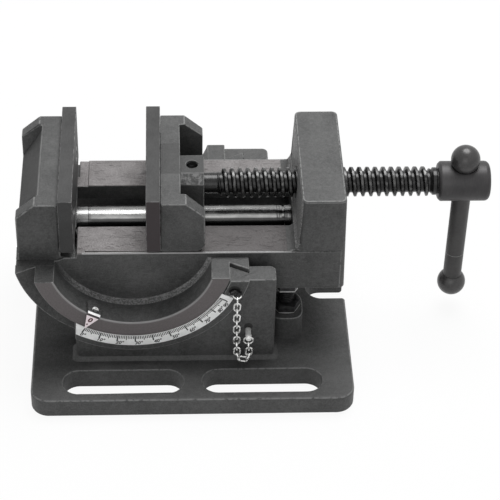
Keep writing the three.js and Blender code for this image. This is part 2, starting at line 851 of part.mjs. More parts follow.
function pointerScrewBore() {
  const depth = pointerScrewLength + overrun;
  const radius = pointerScrewShank / 2 + slideGap;
  const geometry = new THREE.CylinderGeometry(radius, radius, depth, smallSides);
  geometry.rotateX(Math.PI / 2).translate(0, -cheekFace + pointerTab / 2, overrun - depth / 2);
  return solid(atPointer(geometry));
}

const pointerFront = -cheekFace - slideGap - scaleThickness - pointerThickness;
const pointerLift = 3 * seat;
const pointerCrown = ringInner - Math.sqrt(ringInner ** 2 - (pointerWidth / 2) ** 2);
const tabBottom = pointerLift + pointerCrown;
const tabShape = new THREE.Shape();
tabShape.moveTo(-pointerWidth / 2, pointerFront);
tabShape.lineTo(pointerWidth / 2, pointerFront);
tabShape.lineTo(pointerWidth / 2, -cheekFace + pointerTab - pointerWidth / 2);
tabShape.absarc(0, -cheekFace + pointerTab - pointerWidth / 2, pointerWidth / 2, 0, Math.PI);
const tab = new THREE.ExtrudeGeometry(tabShape, {
  depth: pointerThickness,
  bevelEnabled: false,
  curveSegments: 8,
});
tab.translate(0, 0, tabBottom);
const bladeDrop = pointerTipRadius - ringInner;
const blade = new THREE.ExtrudeGeometry(outline([
  [-pointerWidth / 2, tabBottom + pointerThickness],
  [-pointerWidth / 2, tabBottom],
  [0, -bladeDrop],
  [pointerWidth / 2, tabBottom],
  [pointerWidth / 2, tabBottom + pointerThickness],
]), { depth: pointerThickness, bevelEnabled: false });
blade.rotateX(Math.PI / 2).translate(0, pointerFront + pointerThickness, 0);
const holeRadius = pointerScrewShank / 2 + seat;
const pointerHole = new THREE.CylinderGeometry(holeRadius, holeRadius, 4 * overrun, smallSides);
pointerHole.rotateX(Math.PI / 2).translate(0, -cheekFace + pointerTab / 2, 0);
addPiece(tiltingBody, 'pointer', cut(
  join(solid(atPointer(tab)), solid(atPointer(blade))),
  solid(atPointer(pointerHole)),
), blackOxide);

const pointerScrewProfile = [
  [0, -pointerScrewLength],
  [pointerScrewShank / 2, -pointerScrewLength],
  [pointerScrewShank / 2, seat],
  [pointerScrewHead / 2, seat],
  [pointerScrewHead / 2 - pointerScrewHeadHeight / 2, pointerScrewHeadHeight],
  [0, pointerScrewHeadHeight],
].map(([radius, along]) => new THREE.Vector2(radius, along));
const pointerScrew = turnedTo.z(new THREE.LatheGeometry(pointerScrewProfile, smallSides));
pointerScrew.translate(0, -cheekFace + pointerTab / 2, tabBottom + pointerThickness);
addPiece(tiltingBody, 'pointer_screw', solid(atPointer(pointerScrew)), brightSteel);

// Guide rod between the rails, socketed in both ends of the body
const rodNick = rodRight - rodSocket - rodGrooveInset;
addPiece(tiltingBody, 'guide_rod', turned('x', [
  [0, rodLeft],
  [rodDiameter / 2, rodLeft],
  [rodDiameter / 2, rodNick],
  [rodDiameter / 2 - rodGroove, rodNick],
  [rodDiameter / 2 - rodGroove, rodNick + rodGrooveWidth],
  [rodDiameter / 2, rodNick + rodGrooveWidth],
  [rodDiameter / 2, rodRight],
  [0, rodRight],
], 0, 0, rodZ), brightSteel);

// Jaw plates, each with two countersunk socket screws
function inOrder(a, b) {
  return [Math.min(a, b), Math.max(a, b)];
}

function jawPlate(faceX, direction) {
  const backX = faceX - direction * jawThickness;
  const plate = block(...inOrder(faceX, backX), -jawWidth / 2, jawWidth / 2, plateBottom, plateTop);
  const pastFace = faceX + direction * overrun;
  const pastBack = backX - direction * overrun;
  const sinkEnd = faceX - direction * (jawScrewHeadHeight + 2 * seat);
  const tools = jawScrewPlaces.flatMap((y) => [
    rod('x', shankBore, ...inOrder(pastFace, pastBack), y, jawScrewZ, smallSides),
    rod('x', jawScrewHead / 2 + slideGap, ...inOrder(pastFace, sinkEnd), y, jawScrewZ, smallSides),
  ]);
  return cut(plate, ...tools);
}

function jawScrew(faceX, direction, y) {
  const headFace = faceX - direction * seat;
  const headBack = headFace - direction * jawScrewHeadHeight;
  const end = headFace - direction * (jawThickness + jawScrewLength - slideGap - seat);
  const socketEnd = headFace - direction * jawScrewSocketDepth;
  const pastFace = headFace + direction * overrun;
  return cut(
    join(
      rod('x', jawScrewHead / 2, ...inOrder(headFace, headBack), y, jawScrewZ, smallSides),
      rod('x', jawScrewShank / 2, ...inOrder(headBack + direction * seat, end), y, jawScrewZ, smallSides),
    ),
    hexagon('x', jawScrewSocket, ...inOrder(pastFace, socketEnd), y, jawScrewZ),
  );
}

addPiece(tiltingBody, 'fixed_jaw_plate', jawPlate(fixedJawX, 1), jawSteel);
jawScrewPlaces.forEach((y, number) => {
  addPiece(tiltingBody, `fixed_jaw_screw_${number + 1}`, jawScrew(fixedJawX, 1, y), blackOxide);
});

// Moving jaw: a pocketed block on the rails with a lug that slides on the guide rod
const movingFace = fixedJawX + jawOpening;
const movingBack = movingFace + jawThickness + seat;
const movingEnd = movingBack + movingBlockReach;
const movingBottom = railTop + slideGap;
const pocketWallX = movingBack + movingWall;
const movingBlock = across(
  chamferedBlock(movingBack, movingEnd, blockChamferRun, movingBottom),
  -jawBlockHalf, jawBlockHalf, jawBlockEdge,
);
const movingPocket = raised(pocketPlan(pocketWallX, movingEnd), pocketFloor, jawBlockTop + overrun);
const bossOutline = outline([
  [-bossHalf, pocketFloor - overrun],
  [bossHalf, pocketFloor - overrun],
  [bossHalf, screwZ + bossRise - bossChamfer],
  [bossHalf - bossChamfer, screwZ + bossRise],
  [bossChamfer - bossHalf, screwZ + bossRise],
  [-bossHalf, screwZ + bossRise - bossChamfer],
]);
const bossGeometry = new THREE.ExtrudeGeometry(bossOutline, {
  depth: movingEnd - pocketWallX + overrun,
  bevelEnabled: false,
});
bossGeometry.rotateX(Math.PI / 2).rotateZ(Math.PI / 2).translate(pocketWallX - overrun, 0, 0);
const lugHalf = gapHalf - slideGap;
const lugX = movingBack + slideGap;
const lug = block(lugX, lugX + lugReach, -lugHalf, lugHalf, railTop - lugDepth, movingBottom + overrun);
const lugBore = rod('x', rodDiameter / 2 + slideGap, lugX - overrun, lugX + lugReach + overrun, 0, rodZ);
const neckEnd = movingEnd - neckReach;
const neckBore = rod(
  'x', neckDiameter / 2 + turnGap, neckEnd - turnGap, movingEnd + overrun, 0, screwZ, smallSides,
);
const setScrewX = (pocketWallX + movingEnd) / 2;
const bossTop = screwZ + bossRise;
const setScrewBore = rod(
  'z', setScrewDiameter / 2 + seat, screwZ, bossTop + overrun, setScrewX, 0, smallSides,
);
const movingScrewBores = jawScrewPlaces.map((y) => rod(
  'x', shankBore, movingBack - overrun, movingBack + jawScrewLength, y, jawScrewZ, smallSides,
));
addPiece(movingJawGroup, 'moving_jaw', cut(
  join(cut(movingBlock, movingPocket), solid(bossGeometry), lug),
  lugBore, neckBore, setScrewBore, ...movingScrewBores,
), paint);
addPiece(movingJawGroup, 'moving_jaw_plate', jawPlate(movingFace, -1), jawSteel);
jawScrewPlaces.forEach((y, number) => {
  addPiece(movingJawGroup, `moving_jaw_screw_${number + 1}`, jawScrew(movingFace, -1, y), blackOxide);
});

// Retaining screw: its dog sits in the lead screw's groove and draws the jaw back
const setScrewTop = bossTop - setScrewSink;
const dogTip = screwZ + grooveDiameter / 2 + turnGap;
addPiece(movingJawGroup, 'retaining_screw', cut(
  turned('z', [
    [0, dogTip],
    [dogDiameter / 2, dogTip],
    [dogDiameter / 2, dogTip + dogLength],
    [setScrewDiameter / 2, dogTip + dogLength],
    [setScrewDiameter / 2, setScrewTop],
    [0, setScrewTop],
  ], setScrewX, 0, 0, smallSides),
  hexagon('z', setScrewSocket, setScrewTop - setScrewSocketDepth, setScrewTop + overrun, setScrewX, 0),
), blackOxide);

// Lead screw: thrust neck with its groove, the threaded length, the collar and the hub's spigot
const threadStart = movingEnd + neckBack;
const collarEnd = threadEnd + collarLength;
addPiece(movingJawGroup, 'lead_screw', turned('x', [
  [0, neckEnd],
  [neckDiameter / 2, neckEnd],
  [neckDiameter / 2, setScrewX - grooveWidth / 2],
  [grooveDiameter / 2, setScrewX - grooveWidth / 2],
  [grooveDiameter / 2, setScrewX + grooveWidth / 2],
  [neckDiameter / 2, setScrewX + grooveWidth / 2],
  [neckDiameter / 2, threadStart - (screwDiameter - neckDiameter) / 2],
  [screwDiameter / 2, threadStart],
  [screwDiameter / 2, threadEnd],
  [collarDiameter / 2, threadEnd + (screwDiameter - collarDiameter) / 2],
  [collarDiameter / 2, collarEnd],
  [spigotDiameter / 2, collarEnd],
  [spigotDiameter / 2, collarEnd + spigotLength],
  [0, collarEnd + spigotLength],
], 0, 0, screwZ), blackOxide);

// Hub: cross bored for the handle and recessed where the handle's balls seat
const hubLeft = collarEnd + seat;
const hubRight = hubLeft + hubLength;
const hubCentre = (hubLeft + hubRight) / 2;
const ballSeat = hubDiameter / 2 - ballDiameter / 4;
const ballRise = ballSeat + ballDiameter / 2;
const hubRadius = hubDiameter / 2;
const roundedEnd = [0, 1, 2, 3].map((step) => {
  const angle = step / 3 * Math.PI / 2;
  return [hubRadius - hubRound * (1 - Math.cos(angle)), hubRight - hubRound * (1 - Math.sin(angle))];
});
addPiece(movingJawGroup, 'screw_hub', cut(
  turned('x', [
    [0, hubLeft],
    [hubRadius - hubChamfer, hubLeft],
    [hubRadius, hubLeft + hubChamfer],
    ...roundedEnd,
    [0, hubRight],
  ], 0, 0, screwZ),
  rod(
    'x', spigotDiameter / 2 + seat, hubLeft - overrun, collarEnd + spigotLength + slideGap,
    0, screwZ, smallSides,
  ),
  rod('z', barDiameter / 2 + slideGap, screwZ - hubDiameter, screwZ + hubDiameter, hubCentre, 0),
  ...[-1, 1].map((end) => sphere(ballDiameter / 2 + slideGap, hubCentre, screwZ + end * ballRise)),
), phosphate);

// Handle: a plain bar with a ball pressed on each end, dropped until the top ball meets the hub
const topBallZ = screwZ + ballRise;
const bottomBallZ = topBallZ - handleLength;
const ballSink = ballDiameter / 2 - ballNeck;
addPiece(movingJawGroup, 'handle_bar', rod(
  'z', barDiameter / 2, bottomBallZ - ballSink, topBallZ + ballSink, hubCentre, 0,
), phosphate);

function ball(z, direction) {
  const socketEnd = z + direction * (ballSink + seat);
  const mouth = z - direction * ballDiameter;
  return cut(
    sphere(ballDiameter / 2, hubCentre, z),
    rod('z', barDiameter / 2 + seat, ...inOrder(socketEnd, mouth), hubCentre, 0),
  );
}
addPiece(movingJawGroup, 'handle_ball_top', ball(topBallZ, 1), phosphate);
addPiece(movingJawGroup, 'handle_ball_bottom', ball(bottomBallZ, -1), phosphate);

export default vise;
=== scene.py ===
# Angle drill press vise with 76 mm jaws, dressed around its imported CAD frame. Sizes are written in
# millimetres and become metres through MM. X runs along the lead screw to the handle, Y across the
# jaws, Z up from the base's underside.
import math

import bmesh
import bpy
import numpy as np
from mathutils import Matrix, Vector


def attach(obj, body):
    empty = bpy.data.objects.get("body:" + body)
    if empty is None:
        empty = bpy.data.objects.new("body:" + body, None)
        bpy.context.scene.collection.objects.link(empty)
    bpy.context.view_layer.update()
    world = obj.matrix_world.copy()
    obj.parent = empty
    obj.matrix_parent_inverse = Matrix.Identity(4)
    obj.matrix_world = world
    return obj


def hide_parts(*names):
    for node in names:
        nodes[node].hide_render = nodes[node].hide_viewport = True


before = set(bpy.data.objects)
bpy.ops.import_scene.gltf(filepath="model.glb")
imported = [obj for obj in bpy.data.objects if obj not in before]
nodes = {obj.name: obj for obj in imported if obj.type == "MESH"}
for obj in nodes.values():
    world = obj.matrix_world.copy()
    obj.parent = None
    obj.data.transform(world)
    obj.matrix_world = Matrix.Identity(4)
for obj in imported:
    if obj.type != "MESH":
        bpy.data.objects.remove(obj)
scene = bpy.context.scene
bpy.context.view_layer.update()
MM = 0.001


# Camera: the place, turn and lens that a fit to the photograph's corners and edges gave.
# It stands about a metre off and looks down at the vise by 41 degrees.
def in_scene(name, data):
    """A new object that holds this data."""
    made = bpy.data.objects.new(name, data)
    scene.collection.objects.link(made)
    return made


def carried(place, *axes):
    """The matrix that carries the origin to a place, and X, Y and Z to three directions."""
    return Matrix.Translation(place) @ Matrix(axes).transposed().to_4x4()


camera_place = Vector((-11.35, -746.22, 693.04)) * MM
camera_yaw, camera_elevation, camera_roll = (math.radians(a) for a in (3.2133, 41.2231, 1.5909))
camera_lens, sensor_width, nearest, farthest = 138.37, 36, 0.05, 20
forward = Vector((
    math.sin(camera_yaw) * math.cos(camera_elevation),
    math.cos(camera_yaw) * math.cos(camera_elevation),
    -math.sin(camera_elevation),
))
level_right = Vector((math.cos(camera_yaw), -math.sin(camera_yaw), 0))
level_up = level_right.cross(forward)
right = level_right * math.cos(camera_roll) + level_up * math.sin(camera_roll)
up = level_up * math.cos(camera_roll) - level_right * math.sin(camera_roll)
camera_data = bpy.data.cameras.new("camera")
camera_data.lens, camera_data.sensor_width = camera_lens, sensor_width
camera_data.clip_start, camera_data.clip_end = nearest, farthest
camera = in_scene("camera", camera_data)
camera.matrix_world = carried(camera_place, right, up, -forward)
scene.camera = camera
scene.view_settings.view_transform = "Standard"


# Studio: a white floor that keeps a faint shadow, a white surround that the camera, polished metal
# and clear glass see, one wide soft lamp above and behind and a weaker one in front.
def operator(operation, swapped=False):
    """One operator of Value: a Math node of this operation, with its two sides in either order."""
    def applied(self, other=0.0):
        sides = (other, self) if swapped else (self, other)
        return self.tree.node("ShaderNodeMath", dict(enumerate(sides)), {"operation": operation})
    return applied


class Value:
    """A socket, wrapped so that Python's own operators build the Math nodes."""

    def __init__(self, tree, socket):
        self.tree, self.socket = tree, socket

    __add__ = __radd__ = operator("ADD")
    __mul__ = __rmul__ = operator("MULTIPLY")
    __sub__, __rsub__ = operator("SUBTRACT"), operator("SUBTRACT", swapped=True)
    __truediv__, __mod__ = operator("DIVIDE"), operator("FLOORED_MODULO")
    __gt__, __lt__ = operator("GREATER_THAN"), operator("LESS_THAN")
    least, most = operator("MINIMUM"), operator("MAXIMUM")
    size, root, rounded_up = operator("ABSOLUTE"), operator("SQRT"), operator("CEIL")
    sine, cosine = operator("SINE"), operator("COSINE")

    def near(self, other, reach=0.5):
        """1 where this is within reach of the other value, 0 elsewhere."""
        return (self - other).size() < reach

    def part(self, low, high):
        """0 at low, 1 at high, smooth between."""
        return self.tree.node(
            "ShaderNodeMapRange", {0: self, 1: low, 2: high}, {"interpolation_type": "SMOOTHSTEP"}
        )


class Tree:
    """A node tree. One method makes any node, from its type, its settings and its inputs."""

    def __init__(self, tree):
        self.tree = tree

    def feed(self, socket, value):
        if isinstance(value, Value):
            self.tree.links.new(value.socket, socket)
        else:
            socket.default_value = value

    def node(self, kind, inputs=None, settings=None, output=0):
        made = self.tree.nodes.new(kind)
        for key, value in (settings or {}).items():
            setattr(made, key, value)
        for key, value in (inputs or {}).items():
            self.feed(made.inputs[key], value)
        return Value(self, made.outputs[output])

    def split(self, vector):
        parts = self.node("ShaderNodeSeparateXYZ", {0: vector})
        return [Value(self, parts.socket.node.outputs[i]) for i in range(3)]


def emptied(owner):
    """The node tree of a material or a world, without the nodes that it starts with."""
    owner.use_nodes = True
    owner.node_tree.nodes.clear()
    return owner.node_tree


def seen_white(tree, dull, white, share, end):
    """Ends a tree with white for the rays that look straight at it and a dull tone for the rest."""
    path = tree.tree.nodes.new("ShaderNodeLightPath")
    kinds = ("Camera", "Glossy", "Transmission")
    rays = [Value(tree, path.outputs[f"Is {kind} Ray"]) for kind in kinds]
    looking = sum(rays[1:], rays[0]).least(1)
    mixed = tree.node("ShaderNodeMixShader", {0: looking * share, 1: dull, 2: white})
    tree.tree.links.new(mixed.socket, tree.tree.nodes.new(end).inputs[0])


floor_half, floor_grey, floor_share, surround_strength = 3.0, (0.8, 0.8, 0.8, 1), 0.93, 0.36
all_white = (1, 1, 1, 1)
floor_mesh = bpy.data.meshes.new("floor")
floor_mesh.from_pydata(
    [(sx * floor_half, sy * floor_half, 0) for sx, sy in ((-1, -1), (1, -1), (1, 1), (-1, 1))],
    [], [(0, 1, 2, 3)],
)
in_scene("floor", floor_mesh)
floor_material = bpy.data.materials.new("paper_floor")
paper = Tree(emptied(floor_material))
seen_white(
    paper, paper.node("ShaderNodeBsdfDiffuse", {"Color": floor_grey}),
    paper.node("ShaderNodeEmission", {"Color": all_white, "Strength": 1.0}),
    floor_share, "ShaderNodeOutputMaterial",
)
floor_mesh.materials.append(floor_material)
scene.world = bpy.data.worlds.new("surround")
sky = Tree(emptied(scene.world))
soft, white = (
    sky.node("ShaderNodeBackground", {"Color": all_white, "Strength": strength})
    for strength in (surround_strength, 1.0)
)
seen_white(sky, soft, white, 1, "ShaderNodeOutputWorld")

lamp_aim = Vector((0.02, 0.0, 0.05))
for name, place, disk_size, power in (
    ("overhead", (0.2, 0.4, 1.25), 0.9, 18.0), ("front", (-0.2, -1.4, 0.75), 1.0, 3.0),
):
    lamp = bpy.data.lights.new(name, "AREA")
    lamp.shape, lamp.size, lamp.energy = "DISK", disk_size, power
    light = in_scene(name, lamp)
    light.location = place
    light.rotation_euler = (lamp_aim - Vector(place)).to_track_quat("-Z", "Y").to_euler()


# Base casting: grey iron, cast with its two cheeks and painted dark satin grey all over. Its edges
# are rounded as a casting's are, and paler along them, partly rubbed and partly painted highlight.
class Finish(Tree):
    """A material. Its patterns read the piece's own object coordinates, in millimetres."""

    def __init__(self, name):
        self.material = bpy.data.materials.new(name)
        super().__init__(emptied(self.material))
        self.shader = self.tree.nodes.new("ShaderNodeBsdfPrincipled")
        surface = self.tree.nodes.new("ShaderNodeOutputMaterial")
        self.tree.links.new(self.shader.outputs[0], surface.inputs[0])
        place = self.node("ShaderNodeTexCoord", output="Object")
        self.place = self.node(
            "ShaderNodeVectorMath", {0: place, "Scale": 1 / MM}, {"operation": "SCALE"}
        )
        self.x, self.y, self.z = self.split(self.place)

    def facing(self):
        """The surface's direction in the piece's own axes."""
        return self.split(self.node("ShaderNodeTexCoord", output="Normal"))

    def noise(self, per_mm, detail=3.0, rough=0.5, stretch=(1, 1, 1)):
        place = self.node(
            "ShaderNodeVectorMath", {0: self.place, 1: stretch}, {"operation": "MULTIPLY"}
        )
        return self.node("ShaderNodeTexNoise", {
            "Vector": place, "Scale": per_mm, "Detail": detail, "Roughness": rough,
        })

    def blend(self, share, low, high):
        """A mix of two colours. A number stands for a grey."""
        made = self.tree.nodes.new("ShaderNodeMix")
        made.data_type = "RGBA"
        self.feed(made.inputs[0], share)
        for socket, tone in ((made.inputs[6], low), (made.inputs[7], high)):
            if isinstance(tone, float):
                tone = (tone, tone, tone)
            self.feed(socket, (*tone, 1) if isinstance(tone, tuple) else tone)
        return Value(self, made.outputs[2])

    def layers(self, colour, *layers):
        """A colour with others laid over it in turn, each with its share."""
        for share, tone in layers:
            colour = self.blend(share, colour, tone)
        return colour

    def bump(self, height, strength, depth_mm):
        """Raises the surface by height, where a height of 1 is depth_mm."""
        made = self.node("ShaderNodeBump", {
            "Height": height, "Strength": strength, "Distance": depth_mm * MM,
        })
        self.tree.links.new(made.socket, self.shader.inputs["Normal"])

    def mark(self, name):
        """A number that the mesh carries under this name."""
        return self.node("ShaderNodeAttribute", None, {"attribute_name": name}, "Fac")

    def set(self, **values):
        for key, value in values.items():
            name = key.replace("_", " ").title().replace("Ior", "IOR")
            self.feed(self.shader.inputs[name], value)


def new_piece(name, mesh, finish, body, slot, *stands_for):
    """A visible piece on a body of the frame, in place of the CAD nodes that it stands for."""
    piece = in_scene(name, mesh)
    mesh.materials.clear()
    mesh.materials.append(finish.material)
    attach(piece, body)
    if stands_for:
        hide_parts(*stands_for)


def opened(mesh):
    form = bmesh.new()
    form.from_mesh(mesh)
    return form


def closed(form, name):
    mesh = bpy.data.meshes.new(name)
    form.to_mesh(mesh)
    form.free()
    return mesh


def merged_copy(name):
    """A CAD node's mesh with its doubled points merged."""
    form = opened(nodes[name].data)
    bmesh.ops.remove_doubles(form, verts=form.verts, dist=1e-7)
    return closed(form, name + "_form")


def flat_faces_joined(form):
    bmesh.ops.dissolve_limit(
        form, angle_limit=math.radians(1), verts=form.verts, edges=form.edges,
    )


def plain_mesh(holder):
    """What an object and its modifiers make, as a plain mesh. The object goes."""
    graph = bpy.context.evaluated_depsgraph_get()
    made = bpy.data.meshes.new_from_object(holder.evaluated_get(graph))
    holder.modifiers.clear()
    bpy.data.objects.remove(holder)
    return made


def with_modifiers(mesh, modifiers):
    holder = in_scene("holder", mesh)
    for kind, settings in modifiers:
        modifier = holder.modifiers.new(kind.lower(), kind)
        for key, value in settings.items():
            setattr(modifier, key, value)
    return plain_mesh(holder)


def bridge(form, start, end):
    """Faces all round, between two outlines of as many points."""
    for spot in range(len(start)):
        after = (spot + 1) % len(start)
        form.faces.new((start[spot], start[after], end[after], end[spot]))


def prism(outline, start_y, end_y):
    """A closed solid: an outline of X and Z points in mm, carried from one Y to another."""
    form = bmesh.new()
    start, end = (
        [form.verts.new((x * MM, y * MM, z * MM)) for x, z in outline] for y in (start_y, end_y)
    )
    form.faces.new(start)
    form.faces.new(end)
    bridge(form, start, end)
    bmesh.ops.recalc_face_normals(form, faces=form.faces)
    return closed(form, "prism")


def cut_away(mesh, *tools):
    """A solid with other solids cut away, exactly."""
    holders = [in_scene("tool", tool) for tool in tools]
    mesh = with_modifiers(mesh, [
        ("BOOLEAN", {"operation": "DIFFERENCE", "solver": "EXACT", "object": holder})
        for holder in holders
    ])
    for holder in holders:
        bpy.data.objects.remove(holder)
    return mesh


def cast(name, edge_mm, shape=None, tools=(), thin=None):
    """A CAD node's solid brought to the casting's own form: shape moves its points, tools are cut
    away, and its outward edges are rounded, half as much where thin says so. Its "edge" attribute
    is 1 along their middles."""
    shortest_mm, sharp = 0.3, math.radians(28)
    mesh = merged_copy(name)
    if shape:
        for vert in mesh.vertices:
            vert.co = Vector(shape(*(vert.co / MM))) * MM
    form = opened(cut_away(mesh, *tools) if tools else mesh)
    bmesh.ops.remove_doubles(form, verts=form.verts, dist=shortest_mm * MM)
    flat_faces_joined(form)
    weight = form.edges.layers.float.new("bevel_weight_edge")
    for edge in form.edges:
        if len(edge.link_faces) == 2 and edge.is_convex:
            middle = (edge.verts[0].co + edge.verts[1].co) * (0.5 / MM)
            share = 0.5 if thin and thin(*middle) else 1.0
            edge[weight] = share * (edge.calc_face_angle() > sharp)
    mesh = closed(form, name + "_cast")
    mesh.materials.append(None)
    mesh.materials.append(None)
    form = opened(with_modifiers(mesh, [("BEVEL", {
        "width": edge_mm * MM, "segments": 4, "limit_method": "WEIGHT", "material": 1,
        "use_clamp_overlap": False, "harden_normals": False,
    })]))
    shine = form.verts.layers.float.new("edge")
    for vert in form.verts:
        vert[shine] = float(all(face.material_index == 1 for face in vert.link_faces))
    for face in form.faces:
        face.material_index = 0
    mesh = closed(form, name + "_rounded")
    mesh.shade_smooth()
    mesh.set_sharp_from_angle(angle=sharp)
    return with_modifiers(mesh, [("WEIGHTED_NORMAL", {"keep_sharp": True, "weight": 50})])


def far(across, along):
    """How far a point is from an axis, from its two distances."""
    return (across * across + along * along).root()


casting_bump = {"strength": 0.9, "depth_mm": 0.32}
paint_gloss = {"specular_ior_level": 0.3}


def satin_paint(name):
    """Dark grey satin paint over a sandy casting skin, paler along edges where it is rubbed and
    where a highlight is painted.
    """
    paint, tone, wear_and_highlight = Finish(name), 0.062, (0.21, 0.212, 0.21)
    patches = paint.noise(0.05, 4.0)
    lumps = paint.noise(0.42, 3.0, 0.6)
    grain = paint.noise(1.3, 3.0, 0.65)
    edge = paint.mark("edge") * paint.noise(0.45, 4.0, 0.7).part(0.36, 0.52)
    shade = patches * 0.35 + lumps * 0.25 + grain * 0.4
    dark, pale = (tone * 0.5, tone * 0.51, tone * 0.51), (tone * 1.5, tone * 1.51, tone * 1.5)
    colour = paint.blend(edge * 0.8, paint.blend(shade.part(0.3, 0.7), dark, pale), wear_and_highlight)
    return paint, colour, 0.42 + patches * 0.16, lumps * 0.5 + grain * 0.5


tilt_x, tilt_z = -29.4, 77.5
cheek_face, cheek_top, foot_top, foot_plane = 51.9, 64.2, 15.4, 11.4
stop_x, stop_y = 48.0, -28.0
rim_radius, rim_y, rim_lowest, rim_right = 58.8, -51, 16, 18
holes, front_y, foot_shade_top = ((20.5, 58.2, 3.2), (27.9, 33.2, 2.4)), -50, 12

paint, colour, rough, peel = satin_paint("base_paint")
# Pale rubbed paint and a painted highlight along the arc boss's rim, below the scale.
arc_rim = (far(paint.x - tilt_x, paint.z - tilt_z) - rim_radius).size().part(0.5, 0.2)
arc_rim = arc_rim * (paint.y < rim_y) * (paint.z > rim_lowest) * (paint.x < rim_right)
# Painted shade on the foot's top along the front, under the body.
apron_shade = paint.y.part(front_y, -56) * (paint.z < foot_shade_top) * paint.z.part(10.5, 11.2)
# Painted shade round the lock pin's and the anchor pin's holes in the front cheek.
shaded = [
    far(paint.x - x, paint.z - z).part(reach, reach - 0.5) * (paint.y < front_y)
    for x, z, reach in holes
]
colour = paint.layers(
    colour, (arc_rim * paint.noise(0.3, 3.0).part(0.35, 0.55) * 0.7, 0.22), (apron_shade * 0.3, 0.02),
    *((hole * 0.9, 0.008) for hole in shaded),
)
paint.bump(peel, **casting_bump)
paint.set(base_color=colour, roughness=rough, **paint_gloss)


def base_shape(x, y, z):
    """Upright cheeks with a small foot, a tight front corner, a plain rear and a squared boss."""
    hair, foot_edge, cad_face, draft = 0.05, 48.9, 52.795, 0.9
    side, depth = math.copysign(1, y), abs(y)
    on_foot = abs(z - foot_top) < hair
    on_cheek = depth < cad_face and foot_top - 0.1 < z < cheek_top + 0.1
    if depth > foot_edge and (on_cheek or on_foot):
        depth -= draft * (cheek_top - z) / (cheek_top - foot_top)
    if y > cheek_face + hair and z > foot_top + 0.1:
        depth = min(depth, cheek_face)
    if on_foot and depth > 41:
        z = foot_top - 2
    narrower, shallower, left, right, outer = 1.8, 0.7, -59.2, 42.0, 51.1
    if abs(z - foot_plane) < hair and 39.9 < depth < 54.3 and left - 3.2 < x < right + 3.2:
        x += narrower * ((x < left) - (x > right))
        depth -= shallower * (depth > outer)
    y = side * depth
    corner_x, tighter = 41.1, 0.4
    if x > 38 and y < -48.8 and foot_plane + 0.1 < z < cheek_top + 0.1:
        x, y = corner_x - (corner_x - x) * tighter, -cheek_face + (y + cheek_face) * tighter
    reach = math.hypot(x - stop_x, y - stop_y)
    if 9.3 < reach < 11.5 and foot_plane - 0.1 < z < 25.1:
        half_x, half_y, squareness = 8.5, 9.9, 3.4
        flare = 0.4 * (z < foot_plane + 0.6)
        across = abs(x - stop_x) / reach / (half_x + flare)
        along = abs(y - stop_y) / reach / (half_y + flare)
        square = (across ** squareness + along ** squareness) ** (-1 / squareness) / reach
        x, y = stop_x + (x - stop_x) * square, stop_y + (y - stop_y) * square
    return x, y, z


base = cast("base_casting", 0.6, base_shape)
new_piece("base_iron", base, paint, "base", "paint", "base_casting")


# Angle scale: an aluminium strip bent round the front cheek's arc and cemented on. Its degree lines
# and slanted numerals are printed, a hair proud of the metal.
def finish_solid(form, name, sharp_degrees=32):
    """A bmesh turned into a closed mesh, faces outward, smooth but for its sharp edges."""
    bmesh.ops.remove_doubles(form, verts=form.verts, dist=2e-7)
    loose = [edge for edge in form.edges if not edge.link_faces]
    bmesh.ops.delete(form, geom=loose, context="EDGES")
    bmesh.ops.recalc_face_normals(form, faces=form.faces)
    mesh = closed(form, name)
    mesh.shade_smooth()
    mesh.set_sharp_from_angle(angle=math.radians(sharp_degrees))
    return mesh


def bevelled(width_mm, name):
    """A CAD node's merged copy with its flat faces whole again and its edges broken."""
    form = opened(merged_copy(name))
    flat_faces_joined(form)
    mesh = with_modifiers(closed(form, name + "_flat"), [("BEVEL", {
        "width": width_mm * MM, "segments": 2,
        "limit_method": "ANGLE", "angle_limit": math.radians(40),
    })])
    return finish_solid(opened(mesh), name + "_bevelled")


